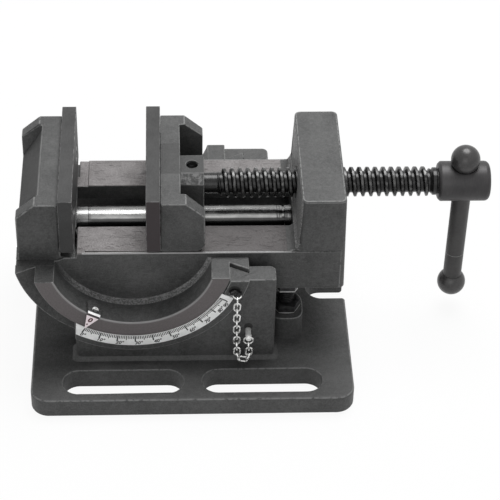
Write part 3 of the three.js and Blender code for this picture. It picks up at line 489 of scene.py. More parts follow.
class Form(Tree):
    """A Geometry Nodes tree. Its sizes are named inputs of the modifier that runs it."""

    def __init__(self, name, **sizes):
        super().__init__(bpy.data.node_groups.new(name, "GeometryNodeTree"))
        self.tree.interface.new_socket("blank", in_out="INPUT", socket_type="NodeSocketGeometry")
        self.sizes = {}
        for label, size in sizes.items():
            kind = "NodeSocketInt" if isinstance(size, int) else "NodeSocketFloat"
            socket = self.tree.interface.new_socket(label, in_out="INPUT", socket_type=kind)
            self.sizes[socket.identifier] = size
        self.tree.interface.new_socket("form", in_out="OUTPUT", socket_type="NodeSocketGeometry")
        given = self.tree.nodes.new("NodeGroupInput")
        self.blank = Value(self, given.outputs["blank"])
        self.given = {label: Value(self, given.outputs[label]) for label in sizes}

    def __getitem__(self, label):
        return self.given[label]

    def vector(self, x, y, z):
        return self.node("ShaderNodeCombineXYZ", {0: x, 1: y, 2: z})

    def spot(self, x, y, z):
        """A place, from millimetres."""
        return self.vector(x * MM, y * MM, z * MM)

    def place(self):
        return self.split(self.node("GeometryNodeInputPosition"))

    def put(self, geometry, place):
        return self.node("GeometryNodeSetPosition", {"Geometry": geometry, "Position": place})

    def moved(self, geometry, x, y, z, turn=(0, 0, 0)):
        return self.node("GeometryNodeTransform", {
            "Geometry": geometry, "Translation": self.spot(x, y, z), "Rotation": turn,
        })

    def set_out(self, points, instance, turn, **more):
        rotation = self.node("FunctionNodeEulerToRotation", {0: turn})
        return self.node("GeometryNodeInstanceOnPoints", {
            "Points": points, "Instance": instance, "Rotation": rotation, **more,
        })

    def circle(self, sides, across):
        return self.node("GeometryNodeCurvePrimitiveCircle", {
            "Resolution": sides, "Radius": across * (0.5 * MM),
        })

    def tube(self, path, sides):
        """Round wire along a path, of the size that this tree calls wire."""
        return self.node("GeometryNodeCurveToMesh", {
            "Curve": path, "Profile Curve": self.circle(sides, self["wire"]), "Fill Caps": True,
        })

    def spiral(self, segments, rise):
        radius = self["radius"] * MM
        return self.node("GeometryNodeCurveSpiral", {
            "Resolution": segments, "Rotations": self["coils"], "Height": rise * MM,
            "Start Radius": radius, "End Radius": radius,
        })

    def together(self, *geometries):
        joined = self.tree.nodes.new("GeometryNodeJoinGeometry")
        for geometry in geometries:
            self.tree.links.new(geometry.socket, joined.inputs[0])
        return Value(self, joined.outputs[0])

    def made(self, geometry, blank=None, sharp_degrees=32):
        """Ends the tree, runs it on a blank mesh and returns one plain closed mesh."""
        whole = self.node("GeometryNodeRealizeInstances", {"Geometry": geometry})
        end = self.tree.nodes.new("NodeGroupOutput")
        self.tree.links.new(whole.socket, end.inputs[0])
        holder = in_scene("holder", blank or bpy.data.meshes.new("blank"))
        modifier = holder.modifiers.new("form", "NODES")
        modifier.node_group = self.tree
        for identifier, size in self.sizes.items():
            modifier[identifier] = size
        return finish_solid(opened(plain_mesh(holder)), self.tree.name, sharp_degrees)


scale_inner_radius, scale_widening, scale_face_y = 48.6, 1.1, -53.4
cad_inner_radius, scale_end_degrees, scale_lengthened = 49.9, 62.2, 1.8
zero_degrees = -29.0

silver = Finish("scale_silver")
smudge = silver.noise(0.25, 4.0)
grit = silver.noise(2.5, 2.0, stretch=(1, 0.2, 1))
silver.bump(grit, 0.25, 0.03)
silver.set(
    base_color=silver.blend(
        (smudge * 0.7 + grit * 0.3).part(0.3, 0.7), (0.82, 0.825, 0.82), (0.97, 0.975, 0.97),
    ),
    roughness=0.34 + smudge * 0.2, metallic=0.05,
)
scale = bevelled(0.1, "scale_plate")
for vert in scale.vertices:
    spoke = Vector((vert.co.x - tilt_x * MM, 0, vert.co.z - tilt_z * MM))
    wider = (spoke.length - cad_inner_radius * MM) * scale_widening
    spoke *= (scale_inner_radius * MM + wider) / spoke.length
    if math.degrees(math.atan2(spoke.x, -spoke.z)) > scale_end_degrees:
        spoke.rotate(Matrix.Rotation(math.radians(-scale_lengthened), 3, "Y"))
    vert.co = Vector((tilt_x * MM, vert.co.y, tilt_z * MM)) + spoke
new_piece("angle_scale", scale, silver, "base", "aluminium", "scale_plate")

ink = Finish("scale_ink")
ink.set(
    base_color=ink.blend(ink.noise(1.5, 2.0).part(0.35, 0.65), 0.006, 0.03),
    roughness=0.6, specular_ior_level=0.2,
)
lines = Form(
    "degree_lines", degrees=91, first_angle=zero_degrees, inner_radius=scale_inner_radius + 0.15,
    short=2.0, middle=2.8, long=3.9, width=0.46, proud=0.05,
)
number = lines.node("GeometryNodeInputIndex")
fifth, tenth = (number % 5).near(0), (number % 10).near(0)
reach = lines["short"] + fifth * (lines["middle"] - lines["short"])
reach = reach + tenth * (lines["long"] - lines["middle"])
turn = (lines["first_angle"] + number) * (math.pi / 180)
radius = lines["inner_radius"] + reach * 0.5
spots = lines.put(
    lines.node("GeometryNodeMeshLine", {"Count": lines["degrees"]}),
    lines.spot(radius * turn.sine() + tilt_x, scale_face_y, tilt_z - radius * turn.cosine()),
)
strokes = lines.set_out(
    spots, lines.node("GeometryNodeMeshCube", {"Size": (MM, MM, MM)}),
    lines.vector(0, turn * -1, 0),
    Scale=lines.vector(lines["width"] * (tenth * 0.5 + 1), lines["proud"], reach),
)
new_piece("scale_lines", lines.made(strokes), ink, "base", "aluminium")


def on_arc(radius, degrees, y):
    """Axes at a point of the arc: along it, inward to the tilt axis, and out of its face."""
    turn = math.radians(degrees)
    along = Vector((math.cos(turn), 0, math.sin(turn)))
    inward = Vector((-math.sin(turn), 0, math.cos(turn)))
    outward = Vector((0, -1, 0))
    spot = Vector((tilt_x, y, tilt_z)) - inward * radius
    return carried(spot * MM, along, inward, outward)


def lettering(text, size_mm, place, bold_mm=0.085, slant=0.22):
    """Plain numerals as a thin closed mesh, laid at a place."""
    proud_mm = 0.03
    letters = bpy.data.curves.new("numerals", "FONT")
    letters.body, letters.size, letters.shear = text, size_mm * MM, slant
    letters.extrude, letters.offset = proud_mm * MM, bold_mm * MM
    letters.align_x = letters.align_y = "CENTER"
    letters.resolution_u = 3
    mesh = plain_mesh(in_scene("holder", letters))
    mesh.transform(place)
    return mesh


numeral_size, numeral_radius, last_radius, last_past = 2.85, 53.6, 53.9, -2.3
numerals = bmesh.new()
for degrees in range(0, 91, 10):
    past, reach = 0.9 + 0.027 * degrees, numeral_radius
    if degrees == 90:
        past, reach = last_past, last_radius
    spot = on_arc(reach, zero_degrees + degrees + past, scale_face_y)
    numerals.from_mesh(lettering(f"{degrees}°", numeral_size, spot))
new_piece("scale_numerals", finish_solid(numerals, "numerals"), ink, "base", "aluminium")


# Level stop: a black hexagon head screw that the body rests on at 0 degrees, standing in the base's
# boss, and the nut that locks it. Both heads are chamfered bar stock, and the thread is cut.
def ring_grid(form, around, rows):
    """A grid to bend round an axis, its share of the turn from 0 to 1, and its rows from 0."""
    grid = form.node("GeometryNodeMeshGrid", {
        "Size X": 1.0, "Size Y": rows, "Vertices X": around + 1, "Vertices Y": rows + 1,
    })
    x, y, _ = form.place()
    return grid, x + 0.5, y + rows * 0.5


def bent_round(form, grid, turn, radius, along):
    """The grid with each point at an angle and a radius round Z, in mm."""
    shaped = form.put(grid, form.spot(radius * turn.cosine(), radius * turn.sine(), along))
    return form.node("GeometryNodeMergeByDistance", {"Geometry": shaped, "Distance": 2e-7})


def hexagon_stock(form, height, hole=0.0, two_sided=0.0):
    """Hexagon bar of a height, its corners chamfered above, and below too if it is two sided."""
    grid, share, row = ring_grid(form, 72, 6)
    turn = share * (2 * math.pi)
    flat = form["across"] * 0.475
    corner = form["across"] * 0.5 / ((turn + math.pi / 6) % (math.pi / 3) - math.pi / 6).cosine()
    drop = (corner - flat) * math.tan(math.radians(30))
    radius = (
        (row.near(0) + row.near(5) + row.near(6)) * hole
        + (row.near(1) + row.near(4)) * flat + (row.near(2) + row.near(3)) * corner
    )
    along = (
        (row.near(0) + row.near(1) + row.near(6)) * height + row.near(2) * (height - drop)
        + row.near(3) * drop * two_sided
    )
    return bent_round(form, grid, turn, radius, along)


def cut_thread(form, length, crest, root, around, steps):
    """A right-hand thread on a core along Z from 0 to length; steps is rows to a turn."""
    pitch, hair = form["pitch"], 0.0001
    grid, share, row = ring_grid(form, around, (length / pitch * steps).rounded_up() + 2 * steps)
    level = (row / steps + share - 1) * pitch
    ridge = 1 - ((row / steps) % 1 - 0.5).size().part(0.13, 0.36)
    fade = level.part(0, pitch) * (length - level).part(0, pitch * 0.7)
    inside = (level > -hair) * (level < length + hair)
    radius = (root + (crest - root) * ridge * fade) * inside
    return bent_round(form, grid, share * (2 * math.pi), radius, level.most(0).least(length))


def hexagon_screw(form, head_turn=0.0):
    """A hexagon head that stands on Z 0, above a threaded shank that is as long as thread says."""
    head = form.moved(hexagon_stock(form, form["head"]), 0, 0, 0, turn=(0, 0, head_turn))
    shank = cut_thread(form, form["thread"], form["diameter"] * 0.5, form["diameter"] * 0.43, 32, 6)
    return form.together(head, form.moved(shank, 0, 0, 0.1 - form["thread"]))


def black_oxide(name, *highlight_levels):
    """Black oxided steel, with a highlight painted round its corners at these heights."""
    oxide, bright = Finish(name), 0.6
    wisps = oxide.noise(0.35, 3.0)
    scratch = oxide.noise(1.2, 2.0, stretch=(0.15, 1, 1))
    tone = oxide.blend(
        (wisps * 0.6 + scratch * 0.4).part(0.35, 0.7), (0.016, 0.016, 0.017), (0.06, 0.06, 0.061),
    )
    wear_and_highlight = [(oxide.z - level).size().part(0.6, 0.35) * 0.85 for level in highlight_levels]
    tone = oxide.layers(tone, *((share, bright) for share in wear_and_highlight))
    oxide.bump(scratch, 0.3, 0.04)
    oxide.set(base_color=tone, roughness=0.24 + scratch * 0.2, metallic=0.55)
    return oxide


one_twelfth = math.pi / 6
oxide = black_oxide("black_oxide")
stop_oxide = black_oxide("level_stop_oxide", 40.1, 25.7)
metric_8 = {"across": 13.0, "pitch": 1.25, "diameter": 8.0}
stop = Form("level_stop", head=4.4, head_bottom=39.9, thread=34.4, **metric_8)
screw = stop.moved(hexagon_screw(stop, one_twelfth), stop_x, stop_y, stop["head_bottom"])
new_piece(
    "level_stop", stop.made(screw), stop_oxide, "level_stop", "black_oxide", "level_stop_screw",
)
nut = Form("jam_nut", across=13.0, height=5.0, bottom=25.1, bore=4.3)
ring = hexagon_stock(nut, nut["height"], nut["bore"], two_sided=1.0)
ring = nut.moved(ring, stop_x, stop_y, nut["bottom"], turn=(0, 0, one_twelfth))
new_piece("jam_nut", nut.made(ring), stop_oxide, "base", "black_oxide", "level_jam_nut")

# Tilt lock bolts: two black hexagon head bolts screwed through the rear cheek against the tongue of
# the arc slide. They are the same bolt, and each turns by itself.
bolt_radius = 54.6
for number, side, degrees in ((1, "left", -18.0), (2, "right", 46.0)):
    bolt = Form(f"tilt_lock_bolt_{number}_form", head=5.3, thread=10.0, head_y=55.8, **metric_8)
    spot = on_arc(bolt_radius, degrees, 0).to_translation() / MM
    placed = bolt.moved(
        hexagon_screw(bolt), spot.x, bolt["head_y"], spot.z, turn=(-math.pi / 2, 0, 0),
    )
    new_piece(
        f"lock_bolt_{number}", bolt.made(placed), oxide, "lock_bolt_" + side, "black_oxide",
        f"tilt_lock_bolt_{number}",
    )

# Lock pin: a dark turned pin with a flat eye at its outer end, and the split ring through the eye.
# The chain's other end hangs from a plated pin driven into the cheek.
pin_oxide = Finish("lock_pin_oxide")
# Painted highlight on the top of the pin's outer end.
wear_and_highlight = pin_oxide.y.part(-55.4, -56.0) * pin_oxide.z.part(56.4, 57.2)
scratch = pin_oxide.noise(1.2, 2.0)
pin_oxide.bump(scratch, 0.3, 0.04)
pin_oxide.set(
    base_color=pin_oxide.blend(
        wear_and_highlight * 0.9, pin_oxide.blend(scratch, 0.012, 0.05), (0.4, 0.4, 0.39),
    ),
    roughness=0.26 + scratch * 0.2, metallic=0.5,
)
new_piece("lock_pin_iron", bevelled(0.22, "lock_pin"), pin_oxide, "base", "black_oxide", "lock_pin")

plated = Finish("nickel_plating")
mist = plated.noise(0.8, 3.0)
plated.bump(plated.noise(3.0, 1.0), 0.2, 0.02)
plated.set(
    base_color=plated.blend(mist.part(0.35, 0.7), (0.52, 0.52, 0.51), (0.84, 0.84, 0.83)),
    roughness=0.16 + mist * 0.16, metallic=1.0,
)


def satin_nickel(name, low, high, gloss, metallic):
    nickel = Finish(name)
    mist = nickel.noise(1.0, 3.0)
    nickel.bump(mist, 0.2, 0.03)
    tone = nickel.blend(mist.part(0.3, 0.7), low, high)
    nickel.set(base_color=tone, roughness=gloss + mist * 0.15, metallic=metallic)
    return nickel, tone


def turned(axis, profile, place, sides=96):
    """A closed turned form: (radius, distance) points in mm along an axis from a place."""
    form = bmesh.new()
    along = Vector([axis == name for name in "xyz"])
    out = Vector([axis == name for name in "zxy"])
    rings = []
    for radius, distance in profile:
        spots = []
        for side in range(sides):
            spoke = out.copy()
            spoke.rotate(Matrix.Rotation(2 * math.pi * side / sides, 3, along))
            spots.append(form.verts.new((Vector(place) + along * distance + spoke * radius) * MM))
        rings.append(spots)
    for start, end in zip(rings, rings[1:]):
        bridge(form, start, end)
    return finish_solid(form, "turned")


def drill(axis, radius, start, end, place, sides):
    """A tool for a round hole, or for a hexagon socket where it has six sides."""
    return turned(axis, [(0, start), (radius, start), (radius, end), (0, end)], place, sides)


def without(mesh, *tools):
    """A turned solid with other solids cut away, its edges left crisp."""
    return finish_solid(opened(cut_away(mesh, *tools)), "cut_solid")


anchor_x, anchor_z, anchor_inner, eye_y, eye_half, eye_radius = 27.8, 30.7, -46.1, -57.2, 3, 0.94
anchor = turned("y", [
    (0, -58.7), (0.9, -58.7), (1.35, -58.5), (1.57, -58.1), (1.6, -57.6), (1.6, -56.0),
    (1.55, -55.75), (1.35, -55.6), (1.35, anchor_inner), (0, anchor_inner),
], (anchor_x, 0, anchor_z), sides=48)
eye = drill("x", eye_radius, -eye_half, eye_half, (anchor_x, eye_y, anchor_z), 32)
nickel, _ = satin_nickel("anchor_satin_nickel", (0.75, 0.75, 0.74), (0.95, 0.95, 0.94), 0.3, 0.25)
new_piece("anchor_pin", without(anchor, eye), nickel, "base", "plated", "chain_anchor_pin")


# Chain: fourteen welded oval links of plated wire, each turned a quarter from the last, with a jump
# ring at the anchor pin and a double coiled split ring in the lock pin's eye.
def node_frame(name):
    """A CAD node's middle and its long, middle and short axes, from its own points."""
    data = nodes[name].data
    spots = np.empty(len(data.vertices) * 3)
    data.vertices.foreach_get("co", spots)
    spots = np.unique(spots.reshape(-1, 3).round(7), axis=0)
    middle = spots.mean(axis=0)
    axes = np.linalg.svd(spots - middle)[2]
    if np.linalg.det(axes) < 0:
        axes[2] = -axes[2]
    return Vector(middle), Matrix(axes.tolist()).transposed()


links = [name for name in nodes if name.startswith("chain_link_")]
places = [node_frame(name) for name in links]
beads = bpy.data.meshes.new("link_places")
beads.from_pydata([middle for middle, _ in places], [], [])
turns = beads.attributes.new("turn", "FLOAT_VECTOR", "POINT")
for number, (_, axes) in enumerate(places):
    turns.data[number].vector = axes.to_euler()
chain = Form("chain", wire=0.98, width=4.05, length=5.85, segments=28, sides=10)
loop = chain.circle(chain["segments"], chain["width"] - chain["wire"])
x, y, z = chain.place()
half_straight = (chain["length"] - chain["width"]) * (0.5 * MM)
oval = chain.put(loop, chain.vector(x + ((x > 0) * 2 - 1) * half_straight, y, z))
turn = chain.node(
    "GeometryNodeInputNamedAttribute", {"Name": "turn"}, {"data_type": "FLOAT_VECTOR"}
)
strung = chain.set_out(chain.blank, chain.tube(oval, chain["sides"]), turn)
strung = chain.made(strung, beads, sharp_degrees=80)
new_piece("chain", strung, plated, "base", "plated", *links)

for name, node, wire, radius, coils, rise, segments in (
    ("split_ring", "lock_pin_ring", 0.52, 2.6, 1.9, 0.48, 36),
    ("jump_ring", "chain_end_ring", 0.84, 2.3, 0.985, 0.0, 48),
):
    ring = Form(node, wire=wire, radius=radius, coils=coils, rise=rise, segments=segments)
    coil = ring.tube(ring.spiral(ring["segments"], ring["rise"]), 12)
    centred = ring.moved(coil, 0, 0, ring["rise"] * -0.5)
    mesh = ring.made(centred, sharp_degrees=60)
    middle, axes = node_frame(node)
    mesh.transform(Matrix.Translation(middle) @ axes.to_4x4())
    new_piece(name, mesh, plated, "base", "plated", node)


# Body casting: side walls, rails, fixed jaw block and end block in one grey iron casting, painted.
# The rails' tops and the ring faces are machined bare, and a highlight is painted along the ring's
# edge.
rail_top, rail_left, rail_right, wall_y, ring_inner, ring_y = 69, -57.7, 47, 36.8, 40.6, 52.5
ring_top, block_x, lip_left, lip_right = 66, 50, -54, 49
pocket_x, pocket_z, pocket_half = -75.4, 73, 29.2
left_end_z, right_end_z, cad_end_z = 64.5, 66.2, 65.6
paint, colour, rough, peel = satin_paint("body_paint")
nx, ny, nz = paint.facing()
radius = far(paint.x - tilt_x, paint.z - tilt_z)
depth = paint.y.size()
sideways = ny.size().part(0.8, 0.95)
from_wall = (depth - wall_y).size()

rail = nz.part(0.3, 0.55) * (paint.z - rail_top).size().part(0.9, 0.6)
rail = rail * (paint.x > rail_left) * (paint.x < rail_right)
ring_face = sideways * depth.part(ring_y - 0.3, ring_y) * (paint.z < 66.1)
# Painted highlight along the ring's inner edge.
ring_edge_highlight = ring_face.most(depth.part(51.8, 52.4))
ring_edge_highlight = ring_edge_highlight * (radius - ring_inner).size().part(0.8, 0.25) * (paint.z < 65.4)
# Painted highlight: a lighter, rougher band where the side wall meets the ring's inner face, for a
# fillet that is not modelled.
fillet_highlight = (radius - 40.2).size().part(1.7, 1.2) * (depth - 37.8).size().part(2.0, 1.4)
fillet_highlight = fillet_highlight * (paint.z < ring_top) * paint.x.part(-68, -54)
sand = (nx < -0.7) * (paint.x > block_x) * (paint.z > rail_top + 0.5)
# Painted shade: the fixed jaw's pocket floor made nearly black.
pocket_shade = (paint.x < pocket_x) * (paint.z > pocket_z) * nz.part(0.3, 0.6)
pocket_shade = pocket_shade * depth.part(pocket_half, pocket_half - 0.4)
# Painted highlight along the rails' outer top edges.
rail_edge_highlight = (paint.z - 68.9).size().part(0.55, 0.35) * from_wall.part(0.9, 0.6)
rail_edge_highlight = rail_edge_highlight * (paint.x > lip_left) * (paint.x < lip_right)
# Painted shade: the front rail's top made darker right of the moving jaw.
front_rail_shade = paint.x.part(-20, 4) * paint.y.part(20, -8)

brushed = paint.noise(1.1, 4.0, 0.75)
scores = paint.noise(0.5, 3.0, 0.6, stretch=(0.3, 2.2, 1)).part(0.6, 0.66)
pits = paint.noise(1.5, 3.0, 0.7).part(0.62, 0.7)
strokes = paint.noise(0.5, 3.0, 0.6, stretch=(0.5, 1, 1.8))
rail_tone = paint.blend(
    (brushed * 0.6 + paint.noise(0.12, 3.0) * 0.4).part(0.3, 0.7),
    (0.105, 0.098, 0.097), (0.208, 0.198, 0.198),
)
rail_tone = paint.layers(
    rail_tone, (pits * 0.65 + scores * 0.4, (0.05, 0.045, 0.045)),
    (front_rail_shade * 0.75, (0.05, 0.046, 0.046)),
)
ring_tone = paint.blend(brushed.part(0.25, 0.75), (0.1, 0.09, 0.091), (0.135, 0.122, 0.123))
colour = paint.layers(
    colour, (fillet_highlight * (0.25 + brushed.part(0.42, 0.6) * 0.75), 0.34),
    (sand * (0.2 + brushed.part(0.45, 0.6) * 0.7), 0.34),
    (sideways * from_wall.part(0.3, 0.1) * strokes.part(0.5, 0.75) * 0.3, 0.13),
    (pocket_shade * 0.82, 0.012), (rail, rail_tone), (ring_face, ring_tone),
    (ring_edge_highlight * 0.8, (0.28, 0.275, 0.275)), (rail_edge_highlight * 0.85, 0.33),
)
bare = rail.most(ring_face)
height = peel * (1 - bare * 0.8) + brushed * bare * 0.3
paint.bump(height - (pits + scores) * rail * 0.3 + (fillet_highlight + sand) * brushed, **casting_bump)
paint.set(
    base_color=colour, roughness=rough * (1 - bare * 0.1) + pocket_shade * 0.3, metallic=rail * 0.35,
    **paint_gloss,
)

fixed_jaw_x, gap_x, gap_far_x = -57.0, 46.6, 50.9
ledge = [
    (-88, 64.4), (-66.4, 64.4), (-59.3, 68.1), (fixed_jaw_x, 68.6), (fixed_jaw_x, 70.7),
    (-88, 70.7),
]
notch = [(-64.6, 66.3), (fixed_jaw_x, 66.3), (fixed_jaw_x, 70.7), (-64.6, 70.7)]
groove = [(-57.9, 67.3), (-56.8, 67.3), (-56.8, 70.0), (-57.9, 70.0)]
gap_end = [(gap_x, 46.0), (gap_far_x, 46.0), (gap_far_x, 74.2), (gap_x, 74.2)]
body_cuts = [
    prism(ledge, -40, -35.8), prism(ledge, 35.8, 40), prism(notch, -38, -24), prism(notch, 24, 38),
    prism(groove, -37.5, -15.5), prism(gap_end, -16.4, 16.4),
]


def body_shape(x, y, z):
    """The ring ends as cut, the end block's steeper sides and the shallow relief beside the jaw."""
    hair, relief_x, rear_relief, front_relief = 0.05, -53.7, -52.4, -57.2
    at_end = abs(z - cad_end_z) < hair or left_end_z - hair < z < cad_end_z and x < -60
    if abs(y) > wall_y - 0.1 and at_end:
        reach = math.hypot(x - tilt_x, z - tilt_z)
        z = left_end_z if x < tilt_x else right_end_z
        x = tilt_x + math.copysign(math.sqrt(reach * reach - (z - tilt_z) ** 2), x - tilt_x)
    block_low, block_height, leaning = 44.6, 55.8, 0.69
    if x > gap_far_x and 33 < abs(y) < wall_y - 0.01:
        y += math.copysign(leaning * (z - block_low) / block_height, y)
    if abs(x - relief_x) < hair and z > rail_top - 1:
        x = rear_relief if y > 0 else front_relief
    return x, y, z


def left_ring_end(x, y, z):
    """The ends of the dovetail rings that dip into the base, which have a thin neck."""
    return x < tilt_x and left_end_z - 0.3 < z < 66.4 and abs(y) > 36.9


body = cast("body_casting", 0.6, body_shape, body_cuts, left_ring_end)
new_piece("body_iron", body, paint, "tilting_body", "paint", "body_casting")


# Guide rod: ground bright steel between the rails, pressed into both ends of the body. Turned
# marks ring it near its ends, and the jaw's lug has drawn fine lines along it.
left_marks, marked_end, past_jaw = ((-51.6, 0.25), (-50.9, 0.12)), 43, 5
shoulder_z, crown_z, shaded_below_z = 65.0, 66.0, 64.2
rod_steel = Finish("guide_rod_steel")
drawn = rod_steel.noise(0.9, 3.0, stretch=(0.04, 1.6, 1.6))
stains = rod_steel.noise(0.16, 4.0, stretch=(1, 2, 2))
marks = sum(rod_steel.x.near(*mark) for mark in left_marks)
rings = rod_steel.noise(0.9, 2.0, stretch=(1.6, 0.1, 0.1)).part(0.5, 0.6)
marks = marks + (rod_steel.x > marked_end) * rings
# Painted shade on the rod's lower side below the shoulder, together with thin oil lines along it.
oil_and_shade = rod_steel.z.part(shoulder_z, shaded_below_z)
oil_and_shade = oil_and_shade.most((rod_steel.x > past_jaw) * (rod_steel.y + 1.5).size().part(1.1, 0.8))
oil_and_shade = oil_and_shade.most((rod_steel.x < past_jaw) * (rod_steel.y + 1.1).size().part(0.4, 0.2) * 0.6)
tone = rod_steel.blend(
    (drawn * 0.5 + stains * 0.5).part(0.32, 0.68), (0.3, 0.3, 0.295), (0.56, 0.56, 0.55),
)
# Painted shade: the rod's top band is darkened to tone down the lamp's highlight there.
tone = rod_steel.layers(
    tone, (rod_steel.z.part(shoulder_z, crown_z) * 0.55, 0.06), (oil_and_shade * 0.94, 0.02),
    (rod_steel.x.part(-49.5, -52.5) * 0.5, 0.2), (marks.least(1) * 0.85, 0.03),
)
rod_steel.bump(drawn, 0.3, 0.03)
rod_steel.set(base_color=tone, roughness=0.16 + stains * 0.18, metallic=1.0)
rod_z, rod_radius, rod_left, rod_right, neck_left, neck_right = 59.5, 7.25, -74.7, 61.0, 46.0, 47.2
chamfer, neck_depth = 0.8, 0.6
guide_rod = turned("x", [
    (0, rod_left), (rod_radius - chamfer, rod_left), (rod_radius, rod_left + chamfer),
    (rod_radius, neck_left), (rod_radius - neck_depth, neck_left),
    (rod_radius - neck_depth, neck_right), (rod_radius, neck_right),
    (rod_radius, rod_right - chamfer), (rod_radius - chamfer, rod_right), (0, rod_right),
], (0, 0, rod_z))
new_piece("guide_rod_steel", guide_rod, rod_steel, "tilting_body", "bright_steel", "guide_rod")


# Jaw plates: hardened dark steel bars, ground on every face, with two socket screws sunk in each.
# Their edges carry a painted highlight, and the moving plate's front end has gone a little brown.
def ground_steel(name, warmth=0.0):
    steel = Finish(name)
    _, ny, _ = steel.facing()
    lines = steel.noise(1.1, 4.0, 0.7, stretch=(1.6, 0.5, 1.2))
    cloud = steel.noise(0.09, 3.0)
    # Painted highlight along the plate's edges.
    edge = steel.mark("edge") * steel.noise(0.35, 4.0, 0.7).part(0.42, 0.6)
    tone = steel.blend((lines * 0.5 + cloud * 0.5).part(0.3, 0.7), 0.03, 0.058)
    front = ny.part(-0.8, -0.95)
    tone = steel.layers(tone, (front * warmth, (0.042, 0.034, 0.036)), (edge * 0.55, 0.3))
    steel.bump(lines, 0.4, 0.05)
    steel.set(base_color=tone, roughness=0.46 + cloud * 0.2, metallic=0.1, specular_ior_level=0.25)
    return steel


def jaw_plate(side, body, face_x, direction, warmth=0.0):
    """A jaw's plate and its two socket head screws: one turned blank, set at both places."""
    node = side + "_jaw_plate"
    steel = ground_steel(side + "_plate_steel", warmth)
    new_piece(side + "_plate", cast(node, 0.3), steel, body, "jaw_steel", node)
    blank = turned("x", [
        (0, 0), (4.2, 0), (4.5, -0.3), (4.5, -4.0), (2.5, -4.0), (2.5, -14.0), (2.2, -14.5),
        (0, -14.5),
    ], (0, 0, 0), sides=48)
    socket = drill("x", 2.31, -2.4, 1.0, (0, 0, 0), 6)
    row = Form(
        side + "_plate_screws", spread=22.0, face=face_x - 0.1 * direction, height=84.95,
        turn=0.0 if direction > 0 else math.pi,
    )
    spots = row.node("GeometryNodeMeshLine", {
        "Count": 2, "Start Location": row.spot(row["face"], row["spread"] * -1, row["height"]),
        "Offset": row.spot(0, row["spread"] * 2, 0),
    })
    placed = row.set_out(spots, row.blank, row.vector(0, 0, row["turn"]))
    new_piece(
        side + "_plate_screws", row.made(placed, without(blank, socket)), oxide,
        body, "black_oxide", side + "_jaw_screw_1", side + "_jaw_screw_2",
    )


jaw_plate("fixed", "tilting_body", -57.7, 1)


# Moving jaw: a pocketed iron block that slides on the rails, painted as the body. A black set
# screw down its boss holds the lead screw, in a hole whose thread shows.
boss_half, boss_shade_z = 12, 94
paint, colour, rough, peel = satin_paint("jaw_paint")
_, ny, nz = paint.facing()
on_boss = paint.y.size() < boss_half
# Painted glints on the boss's rough front facet, and painted shade on the boss's top.
rough_facet_glints = on_boss * ny.part(-0.4, -0.6) * nz.part(0.4, 0.6)
boss_top_shade = (paint.z > boss_shade_z) * on_boss * nz.part(0.7, 0.9)
rough_facet_glints = rough_facet_glints * paint.noise(0.6, 3.0, 0.7).part(0.42, 0.62)
colour = paint.layers(colour, (rough_facet_glints * 0.8, 0.24), (boss_top_shade * 0.5, 0.02))
paint.bump(peel, **casting_bump)
paint.set(base_color=colour, roughness=rough, **paint_gloss)
heel_x, heel_z, heel_radius, heel_out, heel_low = 1.4, 74.3, 5, 7.6, 68.6
heel = [
    (heel_x + heel_radius * math.cos(a), heel_z + heel_radius * math.sin(a))
    for a in np.linspace(0, -math.pi / 2, 7)
]
heel = [(heel_out, heel_z), *heel, (heel_x, heel_low), (heel_out, heel_low)]


def jaw_shape(x, y, z):
    """The jaw's front and rear faces, carried straight down to the rails."""
    return x, math.copysign(36.2, y) if abs(y) > 34.8 and z < 70.3 else y, z


jaw = cast("moving_jaw", 0.5, jaw_shape, (prism(heel, -38, -28), prism(heel, 28, 38)))
new_piece("moving_jaw_iron", jaw, paint, "jaw_carriage", "paint", "moving_jaw")
jaw_plate("moving", "jaw_carriage", -22.3, -1, warmth=0.9)
set_screw_x = 0.5
grub = turned("z", [
    (0, 87.3), (1.5, 87.3), (1.7, 87.5), (1.7, 89.0), (2.6, 89.0), (3.0, 89.3), (3.0, 91.1),
    (2.7, 91.4), (0, 91.4),
], (set_screw_x, 0, 0), sides=48)
grub = without(grub, drill("z", 1.73, 89.8, 93.0, (set_screw_x, 0, 0), 6))
new_piece("set_screw", grub, oxide, "jaw_carriage", "black_oxide", "retaining_screw")
mouth = Form("boss_thread", wire=0.62, radius=3.12, coils=4.6, pitch=0.8, top=95.2, x=set_screw_x)
rise = mouth["coils"] * mouth["pitch"]
ridge = mouth.tube(mouth.spiral(32, rise), 4)
ridge = mouth.moved(ridge, mouth["x"], 0, mouth["top"] - rise - 0.3)
new_piece("boss_thread", mouth.made(ridge), oxide, "jaw_carriage", "black_oxide")


